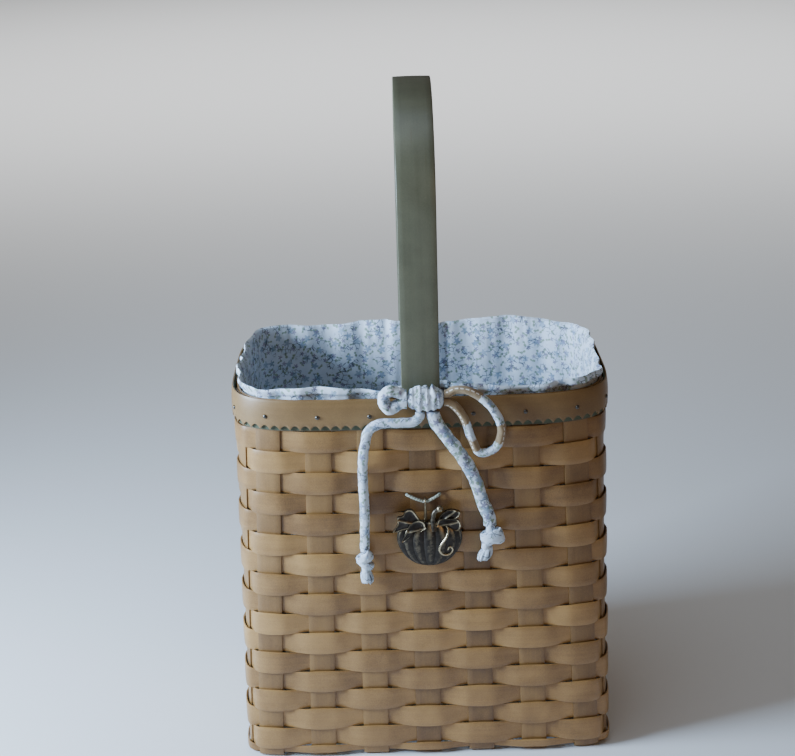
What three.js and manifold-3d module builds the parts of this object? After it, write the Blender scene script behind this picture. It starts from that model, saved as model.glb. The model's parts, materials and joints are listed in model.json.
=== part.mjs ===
// A tall basket woven from flat wood splints, with a bent hoop handle, a pinked rim band, a fabric
// liner with a tie, and a small cast charm that swings on its cord.
// Millimetres, +Z up. The origin is the middle of the underside. The front wall faces -Y.
import * as THREE from 'three';
import { mergeVertices } from 'three/addons/utils/BufferGeometryUtils.js';
import Module from 'manifold-3d';

const wasm = await Module();
wasm.setup();

// Clearance between two pieces that touch on the real basket
const gap = 0.3;

// Outline of the wall, measured to the middle of the uprights' thickness
const rimHalfWidth = 158.5;
const baseFlare = 4.5; // how much further than the rim the base reaches to each side
const halfDepth = 95.5;
const rimSquareness = 5; // exponent of the superellipse: 2 is an ellipse, higher is squarer
const baseSquareness = 14;

// Uprights: wide splints that run up one wall, under the base and up the opposite wall
const uprightWidth = 22.2;
const uprightThickness = 1.3;
const frontCount = 7; // on the front, and on the back
const sideCount = 4; // on each side
const rimMargin = 18.4; // from a face's end to the edge of its last upright, along the rim
const baseMargin = 9.4; // the same at the base, where the uprights stand wider apart
const bendRadius = 3; // where an upright turns from the base up the wall
const straightSteps = 2; // flat lengths of an upright up a wall
const twistedSteps = 8; // the same where an upright turns with the rounded corner

// Weavers: splints that run round the basket, over and under the uprights
const weaverThickness = 1.2;
const weaverPitch = 19;
const weaverRows = 16;
const weaverSlit = 0.4; // seen between two rows
const starterHeight = 6.3; // the narrow first row at the base
const crestRiseAtTop = 0.4; // a weaver laps this much over its neighbours where it passes outside
const crestRiseGrowth = 0.07; // and this much more with each row down
const waviestRow = 14; // from here down it grows no more

// Rim
const bandHeight = 26;
const bandThickness = 2.25; // at its thickest, a third of the way up
const bandEdgeThickness = 0.9;
const toothCount = 110;
const toothDepth = 4;
const trimThickness = 1;
const trimShows = 1.2; // below the tips of the teeth
const trimTuck = 3; // from the trim's top edge up to the band's
const innerBandThickness = 2;
const innerBandDrop = 1; // from the outer band's top edge down to the inner band's
const uprightDrop = 1.5; // from the band's top edge down to the uprights' ends

// Handle: one strap bent to a half circle on two straight legs
const strapWidth = 31.8;
const strapThickness = 5;
const strapEdge = 0.9;
const handleTop = 592;
const legDrop = 80; // from the lowest edge of the rim down to the end of a leg
const legEndThickness = 2;
const bulgeRun = 10; // length over which the inner band and the liner swing round a leg
const bulgeMargin = 1;

// Liner: an open fabric tub
const linerThickness = 1.2;
const linerEase = 0.5; // between the liner and the splints round it
const linerRise = 7; // above the rim
const linerHem = 15; // height at which the liner's wall reaches its full width
const linerFoot = 6; // how far the liner's floor stays inside its wall
const foldCount = 27; // soft upright folds round the liner
const foldDepth = 3; // at the top edge
const foldShareAtLegs = 0.3; // of the depth, at the lower ends of the handle's legs
const hemWaves = 8; // slow rises and falls of the top edge
const hemWaveHeight = 2;
const linerMargin = 2; // beyond a leg, before the cloth swings back to the wall

// Tacks
const tackRadius = 1.8;
const tackHeight = 1.3;
const crownShare = 0.45; // the band is thickest, and tacked, at this share of its height

// Charm and its cord
const charmHalfWidth = 28;
const charmHalfHeight = 23;
const charmFrontDepth = 9;
const charmBackDepth = 3;
const charmLobes = 15;
const lobeDepth = 0.12;
const shoulder = 0.18; // how far above the middle the pumpkin is widest, as a share of its half height
const dimpleDepth = 0.14; // round the stem
const leafBack = 2.5; // from the charm's middle out to the back of a leaf
const leafThickness = 4;
const stemDiameter = 5;
const stemOut = 5; // from the charm's middle out to the middle of the stem
const stemKnob = 2.8; // radius of the knob that ends the stem
const tendrilDiameter = 2;
const charmRow = 4; // the row, counted from the top, that the charm's cord enters
const loopSide = 1.5; // the loop hangs this far right of the middle
const charmSide = 4.5; // and the pumpkin this far
const charmDrop = 37; // from the middle of the loop down to the middle of the pumpkin
const loopRadius = 2.7;
const loopWire = 0.8;
const neckFoot = 1.4; // radius of the neck below the loop, where it enters the pumpkin
const neckLength = 17;
const charmCordDiameter = 2.5;
const cordBeside = 3.2; // the cord enters the weave this far beside the middle upright
const cordRise = 5.6; // from the loop up to where the cord enters the weave

// Tie: a rolled strip of fabric, knotted in a bow at the front foot of the handle
const tieDiameter = 8.4;
const wideTieDiameter = 10.4; // of the right tail, where the strip lies half unrolled
const bowDiameter = 6.8;
const knotHalfWidth = 15;
const knotHalfHeight = 11.5;
const knotHalfDepth = 7;
const knotSide = 3.5;
const knotRise = 3; // from the band's top edge up to the middle of the knot
const endRadius = 7.5; // of the overhand knot that ends each tail
const endHeight = 21;
const tipHeight = 10; // of the frayed tip below it

// Sizes that follow from those above
const baseHalfWidth = rimHalfWidth + baseFlare;
const crossing = (uprightThickness + weaverThickness) / 2 + gap;
const baseLift = (uprightThickness + gap) / 2;
const baseMiddle = baseLift + uprightThickness / 2;
const wallStart = baseMiddle + bendRadius;
const starterBottom = wallStart + 0.15;
const rowsBottom = starterBottom + starterHeight + weaverSlit;
const rowsTop = rowsBottom + weaverRows * weaverPitch - weaverSlit;
const trimBottom = rowsTop + gap;
const bandBottom = trimBottom + trimShows;
const bandTop = bandBottom + bandHeight;
const trimTop = bandTop - trimTuck;
const uprightTop = bandTop - uprightDrop;
const innerBandTop = bandTop - innerBandDrop;
const uprightFace = uprightThickness / 2; // from the wall's middle
const trimInner = uprightFace + gap;
const bandInner = trimInner + trimThickness + gap;
const weaverReach = crossing + weaverThickness / 2;

// The outline is a superellipse. Lengths along it start at the middle of the front and run to the
// right, round the back and home.
function makeOutline(halfWidth, halfDepthOf, squareness) {
  const samples = 1440;
  const points = [];
  const lengths = [0];
  for (let i = 0; i <= samples; i++) {
    const angle = -Math.PI / 2 + (2 * Math.PI * i) / samples;
    const across = Math.cos(angle);
    const back = Math.sin(angle);
    const sum =
      Math.abs(across / halfWidth) ** squareness + Math.abs(back / halfDepthOf) ** squareness;
    const reach = sum ** (-1 / squareness);
    points.push(new THREE.Vector2(reach * across, reach * back));
    if (i > 0) lengths.push(lengths[i - 1] + points[i].distanceTo(points[i - 1]));
  }
  const total = lengths[samples];
  function at(length) {
    const wanted = ((length % total) + total) % total;
    let low = 0;
    let high = samples;
    while (high - low > 1) {
      const middle = (low + high) >> 1;
      if (lengths[middle] <= wanted) low = middle;
      else high = middle;
    }
    const share = (wanted - lengths[low]) / (lengths[high] - lengths[low]);
    const point = points[low].clone().lerp(points[high], share);
    const slope = squareness - 1;
    const normal = new THREE.Vector2(
      (Math.sign(point.x) * Math.abs(point.x / halfWidth) ** slope) / halfWidth,
      (Math.sign(point.y) * Math.abs(point.y / halfDepthOf) ** slope) / halfDepthOf,
    ).normalize();
    return { point, normal };
  }
  return { total, at };
}

const rim = makeOutline(rimHalfWidth, halfDepth, rimSquareness);
const base = makeOutline(baseHalfWidth, halfDepth, baseSquareness);

// The uprights in order round the basket, from the middle of the front to the right.
// Face 0 is the front, 1 the right side, 2 the back and 3 the left side. They are evenly spaced
// between the margins at the ends of a face, and atRim and atBase are their distances from its middle.
function placesOn(face) {
  const count = face % 2 ? sideCount : frontCount;
  const pitchWith = (halfWidth, margin) => (2 * (halfWidth - margin) - uprightWidth) / (count - 1);
  const rimPitch = pitchWith(face % 2 ? halfDepth : rimHalfWidth, rimMargin);
  const basePitch = pitchWith(face % 2 ? halfDepth : baseHalfWidth, baseMargin);
  return Array.from({ length: count }, (_, i) => {
    const step = i - (count - 1) / 2;
    return { face, atRim: step * rimPitch, atBase: step * basePitch, last: i === 0 || i === count - 1 };
  });
}
const allPlaces = [0, 1, 2, 3].flatMap(placesOn);
const frontMiddle = (frontCount - 1) / 2;
const places = [...allPlaces.slice(frontMiddle), ...allPlaces.slice(0, frontMiddle)];

function onOutline(outline, face, along) {
  const length = (face * outline.total) / 4 + along;
  return length < -uprightWidth ? length + outline.total : length;
}
const rimLengthOf = (place, shift = 0) => onOutline(rim, place.face, place.atRim + shift);
const baseLengthOf = (place, shift = 0) => onOutline(base, place.face, place.atBase + shift);

// Knots are the lengths at which everything that follows the wall has its corners: both edges of
// each upright, its middle where the wall curves, and the middle of each corner of the basket.
const knots = [];
places.forEach((place, index) => {
  const shifts = place.last ? [-0.5, 0, 0.5] : [-0.5, 0.5];
  for (const shift of shifts) {
    const step = shift * uprightWidth;
    knots.push({
      upright: index,
      rimLength: rimLengthOf(place, step),
      baseLength: baseLengthOf(place, step),
    });
  }
  const next = places[(index + 1) % places.length];
  if (next.face !== place.face) {
    const before = knots[knots.length - 1];
    const nextEdge = -0.5 * uprightWidth;
    knots.push({
      upright: null,
      rimLength: (before.rimLength + rimLengthOf(next, nextEdge)) / 2,
      baseLength: (before.baseLength + baseLengthOf(next, nextEdge)) / 2,
    });
  }
});

// The length along the base that stands under a length along the rim
function baseUnder(rimLength) {
  const first = knots[0];
  const around = [...knots, {
    rimLength: first.rimLength + rim.total,
    baseLength: first.baseLength + base.total,
  }];
  const wanted = rimLength < first.rimLength ? rimLength + rim.total : rimLength;
  const after = around.findIndex((knot) => knot.rimLength > wanted + 1e-9);
  const high = around[after === -1 ? around.length - 1 : after];
  const low = around[after === -1 ? around.length - 2 : after - 1];
  const share = (wanted - low.rimLength) / (high.rimLength - low.rimLength);
  return low.baseLength + share * (high.baseLength - low.baseLength);
}

// A point that lies offset outwards from the middle of the wall. The wall is straight from the
// base outline up to the rim outline.
function wallPoint(rimLength, height, offset) {
  const low = base.at(baseUnder(rimLength));
  const high = rim.at(rimLength);
  const share = (height - wallStart) / (bandTop - wallStart);
  const normal = low.normal.clone().lerp(high.normal, share).normalize();
  const point = low.point.clone().lerp(high.point, share).addScaledVector(normal, offset);
  return new THREE.Vector3(point.x, point.y, height);
}

// A closed body through a row of sections with equal numbers of points. A closed row joins its last
// section to its first, and an open one is capped.
function loft(sections, closed) {
  const sides = sections[0].length;
  const corners = sections.flat();
  const faces = [];
  const spans = closed ? sections.length : sections.length - 1;
  for (let i = 0; i < spans; i++) {
    const next = (i + 1) % sections.length;
    for (let j = 0; j < sides; j++) {
      const a = i * sides + j;
      const b = i * sides + ((j + 1) % sides);
      const c = next * sides + ((j + 1) % sides);
      const d = next * sides + j;
      faces.push(a, b, c, a, c, d);
    }
  }
  if (!closed) {
    const last = (sections.length - 1) * sides;
    for (let j = 1; j < sides - 1; j++) {
      faces.push(0, j + 1, j);
      faces.push(last, last + j, last + j + 1);
    }
  }
  return facingOut(corners, faces);
}

// A geometry from corners and faces, turned so that its faces point outwards
function facingOut(corners, faces) {
  let volume = 0;
  for (let i = 0; i < faces.length; i += 3) {
    const [a, b, c] = [corners[faces[i]], corners[faces[i + 1]], corners[faces[i + 2]]];
    volume += a.dot(new THREE.Vector3().crossVectors(b, c));
  }
  if (volume < 0) {
    for (let i = 0; i < faces.length; i += 3) {
      [faces[i + 1], faces[i + 2]] = [faces[i + 2], faces[i + 1]];
    }
  }
  const geometry = new THREE.BufferGeometry();
  const positions = corners.flatMap((corner) => corner.toArray());
  geometry.setAttribute('position', new THREE.Float32BufferAttribute(positions, 3));
  geometry.setIndex(faces);
  geometry.computeVertexNormals();
  return geometry;
}

function merged(geometry) {
  const bare = geometry.clone();
  bare.deleteAttribute('normal');
  bare.deleteAttribute('uv');
  return mergeVertices(bare, 1e-4);
}

function toSolid(geometry) {
  const welded = merged(geometry);
  return new wasm.Manifold(
    new wasm.Mesh({
      numProp: 3,
      vertProperties: welded.attributes.position.array,
      triVerts: new Uint32Array(welded.index.array),
    }),
  );
}

function fromSolid(solid) {
  const mesh = solid.getMesh();
  const geometry = new THREE.BufferGeometry();
  geometry.setAttribute('position', new THREE.BufferAttribute(mesh.vertProperties, 3));
  geometry.setIndex(new THREE.BufferAttribute(mesh.triVerts, 1));
  geometry.computeVertexNormals();
  return geometry;
}

// A round tube through points chosen by hand
function tube(points, diameter, sides, steps) {
  const section = new THREE.Shape();
  for (let i = 0; i < sides; i++) {
    const angle = (2 * Math.PI * i) / sides;
    const x = (diameter / 2) * Math.cos(angle);
    const y = (diameter / 2) * Math.sin(angle);
    if (i === 0) section.moveTo(x, y);
    else section.lineTo(x, y);
  }
  section.closePath();
  const route = new THREE.CatmullRomCurve3(points.map((point) => new THREE.Vector3(...point)));
  return new THREE.ExtrudeGeometry(section, { steps, extrudePath: route, bevelEnabled: false });
}

const finishes = {
  splint: new THREE.MeshStandardMaterial({ color: '#8f7852', roughness: 0.62, metalness: 0 }),
  band: new THREE.MeshStandardMaterial({ color: '#8a6e48', roughness: 0.5, metalness: 0 }),
  trim: new THREE.MeshStandardMaterial({ color: '#2c4034', roughness: 0.7, metalness: 0 }),
  handle: new THREE.MeshStandardMaterial({ color: '#7a7458', roughness: 0.45, metalness: 0 }),
  liner: new THREE.MeshStandardMaterial({ color: '#d9d6cf', roughness: 0.9, metalness: 0 }),
  tie: new THREE.MeshStandardMaterial({ color: '#b9b49c', roughness: 0.9, metalness: 0 }),
  cord: new THREE.MeshStandardMaterial({ color: '#a9b09c', roughness: 0.8, metalness: 0 }),
  steel: new THREE.MeshStandardMaterial({ color: '#4a4844', roughness: 0.35, metalness: 1 }),
  bronze: new THREE.MeshStandardMaterial({ color: '#3a3333', roughness: 0.4, metalness: 1 }),
};

const basket = new THREE.Group();

function add(name, geometry, finish) {
  const mesh = new THREE.Mesh(geometry, finishes[finish].clone());
  mesh.name = name;
  basket.add(mesh);
  return mesh;
}

// Weavers. A row passes outside every second upright, and the next row outside the others.
// Rows count from the top; the narrow starter is the last. Outside an upright a weaver spreads over
// the rows above and below it, which draw back there by as much.
function weaver(row, bottom, top) {
  const crestRise = crestRiseAtTop + crestRiseGrowth * Math.min(row, waviestRow);
  const sections = knots.map((knot) => {
    const outside = (knot.upright + row) % 2 === 1;
    const side = knot.upright === null ? 0 : outside ? 1 : -1;
    const outer = side * crossing + weaverThickness / 2;
    const inner = side * crossing - weaverThickness / 2;
    const low = bottom - (row > weaverRows ? 0 : side * crestRise);
    const high = top + (row === 1 ? 0 : side * crestRise);
    return [
      wallPoint(knot.rimLength, low, outer),
      wallPoint(knot.rimLength, high, outer),
      wallPoint(knot.rimLength, high, inner),
      wallPoint(knot.rimLength, low, inner),
    ];
  });
  return loft(sections, true);
}

function rowBottom(row) {
  return rowsTop - (row - 1) * weaverPitch - (weaverPitch - weaverSlit);
}

for (let row = 1; row <= weaverRows; row++) {
  const bottom = rowBottom(row);
  const name = `weaver_${String(row).padStart(2, '0')}`;
  add(name, weaver(row, bottom, bottom + weaverPitch - weaverSlit), 'splint');
}
add('weaver_start', weaver(weaverRows + 1, starterBottom, starterBottom + starterHeight), 'splint');

// Uprights. One column of an upright is a line along it: down one wall, round the bend, over and
// under the crossing splints of the base, and up the opposite wall. It lies shift to the side of
// the upright's middle, whose place is across the axis that the upright keeps to.
function uprightColumn(family, place, shift, crossings, wallSteps) {
  const [nearFace, farFace] = family.faces;
  const acrossRim = place.atRim + shift;
  const acrossBase = place.atBase + shift;
  const nearLength = onOutline(rim, nearFace, acrossRim * family.nearSign);
  const farLength = onOutline(rim, farFace, -acrossRim * family.nearSign);
  const column = [];
  function wallEnd(rimLength, face) {
    const wall = [];
    for (let i = 0; i <= wallSteps; i++) {
      const height = THREE.MathUtils.lerp(uprightTop, wallStart, i / wallSteps);
      const point = wallPoint(rimLength, height, 0);
      wall.push({ point, out: wallPoint(rimLength, height, 1).sub(point) });
    }
    const foot = wall[wallSteps].point;
    const outward = new THREE.Vector3(...family.outward[face], 0);
    const down = new THREE.Vector3(0, 0, -1);
    const turn = Math.PI / 4;
    const round = foot.clone()
      .addScaledVector(outward, -bendRadius * (1 - Math.cos(turn)))
      .addScaledVector(down, bendRadius * Math.sin(turn));
    const flat = foot.clone()
      .addScaledVector(outward, -bendRadius)
      .addScaledVector(down, bendRadius);
    return [
      ...wall,
      { point: round, out: outward.clone().add(down).normalize() },
      { point: flat, out: down },
    ];
  }
  column.push(...wallEnd(nearLength, 0));
  for (const { centre, above } of crossings) {
    for (const edge of [-0.5, 0.5]) {
      const point = family.inPlan(acrossBase, centre + edge * uprightWidth);
      point.z = baseMiddle + (above ? baseLift : -baseLift);
      column.push({ point, out: new THREE.Vector3(0, 0, -1) });
    }
  }
  column.push(...wallEnd(farLength, 1).reverse());
  return column;
}

function upright(family, place, crossings) {
  const shifts = place.last ? [-0.5, 0, 0.5] : [-0.5, 0.5];
  const wallSteps = place.last ? twistedSteps : straightSteps;
  const columns = shifts.map((shift) =>
    uprightColumn(family, place, shift * uprightWidth, crossings, wallSteps),
  );
  const half = uprightThickness / 2;
  const sections = columns[0].map((_, step) => {
    const outer = columns.map((column) =>
      column[step].point.clone().addScaledVector(column[step].out, half),
    );
    const inner = columns.map((column) =>
      column[step].point.clone().addScaledVector(column[step].out, -half),
    );
    return [...outer, ...inner.reverse()];
  });
  return loft(sections, false);
}

const longFamily = {
  faces: [0, 2],
  nearSign: 1,
  outward: [[0, -1], [0, 1]],
  inPlan: (across, along) => new THREE.Vector3(across, along, 0),
};
const crossFamily = {
  faces: [3, 1],
  nearSign: -1,
  outward: [[-1, 0], [1, 0]],
  inPlan: (across, along) => new THREE.Vector3(along, across, 0),
};
const longPlaces = placesOn(0);
const crossPlaces = placesOn(1);

longPlaces.forEach((place, i) => {
  const crossings = crossPlaces.map((other, j) => ({ centre: other.atBase, above: (i + j) % 2 === 0 }));
  add(`upright_long_${i + 1}`, upright(longFamily, place, crossings), 'splint');
});
crossPlaces.forEach((place, j) => {
  const crossings = longPlaces.map((other, i) => ({ centre: other.atBase, above: (i + j) % 2 === 1 }));
  add(`upright_cross_${j + 1}`, upright(crossFamily, place, crossings), 'splint');
});

// Rim. The outer band's lower edge is cut in teeth, and its outer face is crowned.
function outerBand() {
  const sections = [];
  for (let i = 0; i < toothCount * 2; i++) {
    const length = (rim.total * i) / (toothCount * 2);
    const bottom = bandBottom + (i % 2 ? toothDepth : 0);
    const crown = bandBottom + bandHeight * crownShare;
    sections.push([
      wallPoint(length, bottom, bandInner + bandThickness - bandEdgeThickness / 2),
      wallPoint(length, crown, bandInner + bandThickness),
      wallPoint(length, bandTop, bandInner + bandEdgeThickness),
      wallPoint(length, bandTop, bandInner),
      wallPoint(length, bottom, bandInner),
    ]);
  }
  return loft(sections, true);
}
add('rim_band', outerBand(), 'band');

function flatRing(lengths, bottom, top, innerAt, thickness) {
  const sections = lengths.map((length) => {
    const inner = innerAt(length);
    return [
      wallPoint(length, bottom, inner + thickness),
      wallPoint(length, top, inner + thickness),
      wallPoint(length, top, inner),
      wallPoint(length, bottom, inner),
    ];
  });
  return loft(sections, true);
}
const knotLengths = knots.map((knot) => knot.rimLength);
add('trim_strip', flatRing(knotLengths, trimBottom, trimTop, () => trimInner, trimThickness), 'trim');

// Near a leg of the handle, the inner band and the liner swing inwards round it. The share is 1
// beside the leg and 0 once past the swing.
const legOuter = uprightFace + gap; // inwards from the wall's middle, at the rim
const legInner = legOuter + strapThickness;
function besideLeg(length, extra) {
  const half = rim.total / 2;
  const fromLeg = Math.abs(((length + half / 2 + rim.total) % half) - half / 2);
  const start = strapWidth / 2 + bulgeMargin + extra;
  return THREE.MathUtils.clamp((start + bulgeRun - fromLeg) / bulgeRun, 0, 1);
}
function lengthsWithSwing(lengths, extra) {
  const start = strapWidth / 2 + bulgeMargin + extra;
  const turns = [-start - bulgeRun, -start, start, start + bulgeRun];
  const all = [...lengths];
  for (const leg of [0, rim.total / 2]) {
    for (const turn of turns) all.push((leg + turn + rim.total) % rim.total);
  }
  return [...new Set(all.map((length) => (length + rim.total) % rim.total))].sort((a, b) => a - b);
}
const innerBandPlain = uprightFace + gap + innerBandThickness;
const innerBandSwing = legInner + gap - (uprightFace + gap);
add(
  'inner_band',
  flatRing(
    lengthsWithSwing(knotLengths, 0),
    trimBottom,
    innerBandTop,
    (length) => -innerBandPlain - besideLeg(length, 0) * innerBandSwing,
    innerBandThickness,
  ),
  'splint',
);

// Handle. Its side view is drawn with X for depth and Y for height, and extruded across. Below the
// rim each leg is notched, so that it hooks under the band and lies against the weave.
function handle() {
  const outer = halfDepth - legOuter;
  const inner = halfDepth - legInner;
  const notched = halfDepth - weaverReach - gap;
  const notch = trimBottom - gap;
  const end = trimBottom - legDrop;
  const spring = handleTop - outer;
  const side = new THREE.Shape();
  side.moveTo(-notched, end);
  side.lineTo(-notched, notch);
  side.lineTo(-outer, notch);
  side.lineTo(-outer, spring);
  side.absarc(0, spring, outer, Math.PI, 0, true);
  side.lineTo(outer, notch);
  side.lineTo(notched, notch);
  side.lineTo(notched, end);
  side.lineTo(notched - legEndThickness, end);
  side.lineTo(inner, notch - legDrop / 2);
  side.lineTo(inner, spring);
  side.absarc(0, spring, inner, 0, Math.PI, false);
  side.lineTo(-inner, notch - legDrop / 2);
  side.lineTo(-notched + legEndThickness, end);
  side.closePath();
  const geometry = new THREE.ExtrudeGeometry(side, {
    depth: strapWidth - 2 * strapEdge,
    curveSegments: 14,
    bevelThickness: strapEdge,
    bevelSize: strapEdge * 0.8,
    bevelOffset: -strapEdge * 0.8,
    bevelSegments: 1,
  });
  geometry.translate(0, 0, -strapWidth / 2 + strapEdge);
  const sideways = new THREE.Matrix4().makeBasis(
    new THREE.Vector3(0, 1, 0),
    new THREE.Vector3(0, 0, 1),
    new THREE.Vector3(1, 0, 0),
  );
  return geometry.applyMatrix4(sideways);
}
add('handle', handle(), 'handle');

// Liner. Outer and inner walls rise from a flat floor, drawn in at the foot. Towards its free top
// edge the cloth falls in soft folds, and the edge rises and falls a little.
function foldAt(length) {
  return (foldDepth * (1 - Math.cos((2 * Math.PI * foldCount * length) / rim.total))) / 2;
}
function hemAt(length) {
  return hemWaveHeight * Math.sin((2 * Math.PI * hemWaves * length) / rim.total);
}
function liner() {
  const floor = baseMiddle + baseLift + uprightThickness / 2 + gap;
  const plain = innerBandPlain + linerEase;
  const swing = innerBandSwing;
  const legEnd = trimBottom - legDrop;
  const levels = [
    { height: floor, inward: plain + linerFoot, legShare: 0, foldShare: 0, hemShare: 0 },
    { height: floor + linerHem, inward: plain, legShare: 0, foldShare: 0, hemShare: 0 },
    { height: legEnd, inward: plain, legShare: 1, foldShare: foldShareAtLegs, hemShare: 0 },
    { height: bandTop + linerRise, inward: plain, legShare: 1, foldShare: 1, hemShare: 1 },
  ];
  const evenly = Array.from({ length: foldCount * 4 }, (_, i) => (i * rim.total) / (foldCount * 4));
  const lengths = lengthsWithSwing(evenly, linerMargin);
  const sections = lengths.map((length) => {
    const leg = besideLeg(length, linerMargin);
    const at = (level, extra, rise) =>
      wallPoint(
        length,
        level.height + rise + level.hemShare * hemAt(length),
        -level.inward - level.legShare * leg * swing - level.foldShare * foldAt(length) - extra,
      );
    const outside = levels.map((level) => at(level, 0, 0));
    const inside = levels.map((level, i) => at(level, linerThickness, i === 0 ? linerThickness : 0));
    return [...outside, ...inside.reverse()];
  });
  const corners = sections.flat();
  const count = levels.length * 2;
  const faces = [];
  for (let i = 0; i < sections.length; i++) {
    const next = (i + 1) % sections.length;
    for (let j = 0; j < count - 1; j++) {
      const a = i * count + j;
      const b = i * count + j + 1;
      const c = next * count + j + 1;
      const d = next * count + j;
      faces.push(a, b, c, a, c, d);
    }
  }
  corners.push(new THREE.Vector3(0, 0, floor), new THREE.Vector3(0, 0, floor + linerThickness));
  const under = corners.length - 2;
  for (let i = 0; i < sections.length; i++) {
    const next = (i + 1) % sections.length;
    faces.push(under, i * count, next * count);
    faces.push(under + 1, next * count + count - 1, i * count + count - 1);
  }
  return facingOut(corners, faces);
}
add('liner', liner(), 'liner');

// Tacks, one through each upright of the front and back
const bandMiddle = bandBottom + bandHeight * crownShare;
function tack(length) {
  const profile = [
    [0, 0],
    [tackRadius, 0],
    [tackRadius * 0.8, tackHeight * 0.65],
    [0, tackHeight],
  ].map(([x, y]) => new THREE.Vector2(x, y));
  const geometry = new THREE.LatheGeometry(profile, 6);
  const seat = wallPoint(length, bandMiddle, bandInner + bandThickness + gap);
  const out = wallPoint(length, bandMiddle, bandInner + bandThickness + gap + 1).sub(seat);
  const turn = new THREE.Quaternion().setFromUnitVectors(new THREE.Vector3(0, 1, 0), out.normalize());
  geometry.applyQuaternion(turn);
  return geometry.translate(seat.x, seat.y, seat.z);
}
for (const [name, face] of [['front', 0], ['back', 2]]) {
  placesOn(face).forEach((place, i) => {
    add(`tack_${name}_${i + 1}`, tack(rimLengthOf(place)), 'steel');
  });
}

// Charm: a cast pumpkin with a stem, four leaves and a curled tendril, hung by a wire loop. Its own
// X runs to the right, Z up and -Y out of the wall.
const loopHeight = rowBottom(charmRow) + weaverPitch * 0.55;
const loopFront = -(halfDepth + uprightFace) - gap - loopRadius - loopWire;
const charmBack = -(halfDepth + weaverReach) - gap;
const charmMiddle = charmBack - charmBackDepth;
const charmHeight = loopHeight - charmDrop;

function pumpkinBody() {
  const geometry = new THREE.SphereGeometry(1, charmLobes * 4, 9, Math.PI / 2);
  const position = geometry.attributes.position;
  for (let i = 0; i < position.count; i++) {
    const turn = Math.atan2(position.getX(i), position.getZ(i));
    const up = position.getY(i);
    const lobe = 1 - lobeDepth * (1 - Math.abs(Math.cos((charmLobes * turn) / 2)));
    const dimple = up > 0 ? 1 - dimpleDepth * up ** 8 : 1;
    const depth = position.getZ(i) > 0 ? charmFrontDepth : charmBackDepth;
    position.setXYZ(
      i,
      position.getX(i) * lobe * charmHalfWidth,
      -position.getZ(i) * lobe * depth,
      (up + shoulder * (1 - up * up)) * dimple * charmHalfHeight,
    );
  }
  return geometry;
}

// How far the pumpkin's front stands out at a point of it
function frontAt(x, z) {
  const high = z / charmHalfHeight;
  const up = (1 - Math.sqrt(1 - 4 * shoulder * (high - shoulder))) / (2 * shoulder);
  const left = 1 - (x / charmHalfWidth) ** 2 - up * up;
  return charmFrontDepth * Math.sqrt(Math.max(0, left));
}

// Outlines of the leaves as X and Z, from the root and round
const leaves = [
  [[-6, 18], [-10, 26], [-15, 32.5], [-20, 31.5], [-22, 27], [-27, 25.5], [-27, 19.5], [-31, 12], [-24, 14]],
  [[-3, 16], [-5, 21.5], [-10, 23], [-17, 18.5], [-20, 11], [-24, 3], [-17, 8.5], [-15, 13], [-10, 12]],
  [[6, 18], [9, 25], [14, 30.5], [20, 31.5], [26, 29], [23, 24], [17, 23]],
  [[6, 17], [8, 23], [16, 24], [25, 22], [26, 15.5], [23.5, 12.5], [18, 15], [12, 18.5]],
];
function leaf(corners) {
  const outline = new THREE.Shape(corners.map(([x, z]) => new THREE.Vector2(x, z)));
  const geometry = new THREE.ExtrudeGeometry(outline, { depth: leafThickness, bevelEnabled: false });
  return geometry.rotateX(Math.PI / 2).translate(0, -leafBack, 0);
}

const stemLine = [[3.8, -stemOut, 13], [3.2, -stemOut, 23], [4.6, -stemOut, 29.5], [9, -stemOut, 32.5]];
const tendrilLine = [
  [5.5, 18.5], [9, 20], [13.2, 18.5], [15.7, 13.8], [14, 7], [9.8, 1], [8, -4], [10.6, -8.7],
  [14.9, -9.8], [19, -6.9], [18.7, -3.5], [16.6, -2], [15, -4.9],
].map(([x, z]) => [x, -Math.max(frontAt(x, z), leafBack + leafThickness / 2), z]);

function charm() {
  const pieces = [pumpkinBody(), ...leaves.map(leaf)];
  pieces.push(tube(stemLine, stemDiameter, 8, 8));
  const knob = new THREE.SphereGeometry(stemKnob, 8, 6);
  pieces.push(knob.translate(...stemLine[stemLine.length - 1]));
  pieces.push(tube(tendrilLine, tendrilDiameter, 6, 36));
  const loopIn = [loopSide - charmSide, loopFront - charmMiddle, charmDrop];
  const loop = new THREE.TorusGeometry(loopRadius, loopWire, 6, 14);
  pieces.push(loop.rotateY(Math.PI / 2).translate(...loopIn));
  const neck = new THREE.CylinderGeometry(loopWire, neckFoot, neckLength, 8);
  neck.rotateX(Math.PI / 2).translate(...loopIn);
  pieces.push(neck.translate(0, 0, -loopRadius - neckLength / 2));
  const solid = pieces.map(toSolid).reduce((whole, piece) => whole.add(piece));
  return fromSolid(solid);
}
const charmMesh = add('charm', charm(), 'bronze');
charmMesh.position.set(charmSide, charmMiddle, charmHeight);

// The charm's cord comes out of the weave beside the middle upright, goes down through the wire loop
// and up again to the other side
const cordSide = uprightWidth / 2 + cordBeside;
const cordStart = -(halfDepth + uprightFace) - 0.35;
const charmCord = [
  [-cordSide, cordStart, loopHeight + cordRise],
  [-cordSide + 1.6, loopFront + 1.6, loopHeight + cordRise - 0.4],
  [-uprightWidth / 4, loopFront, loopHeight + 2.2],
  [loopSide, loopFront, loopHeight],
  [uprightWidth / 3, loopFront, loopHeight + 2.2],
  [cordSide - 1.6, loopFront + 1.6, loopHeight + cordRise - 0.8],
  [cordSide, cordStart, loopHeight + cordRise],
];
add('charm_cord', tube(charmCord, charmCordDiameter, 8, 14), 'cord');

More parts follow.
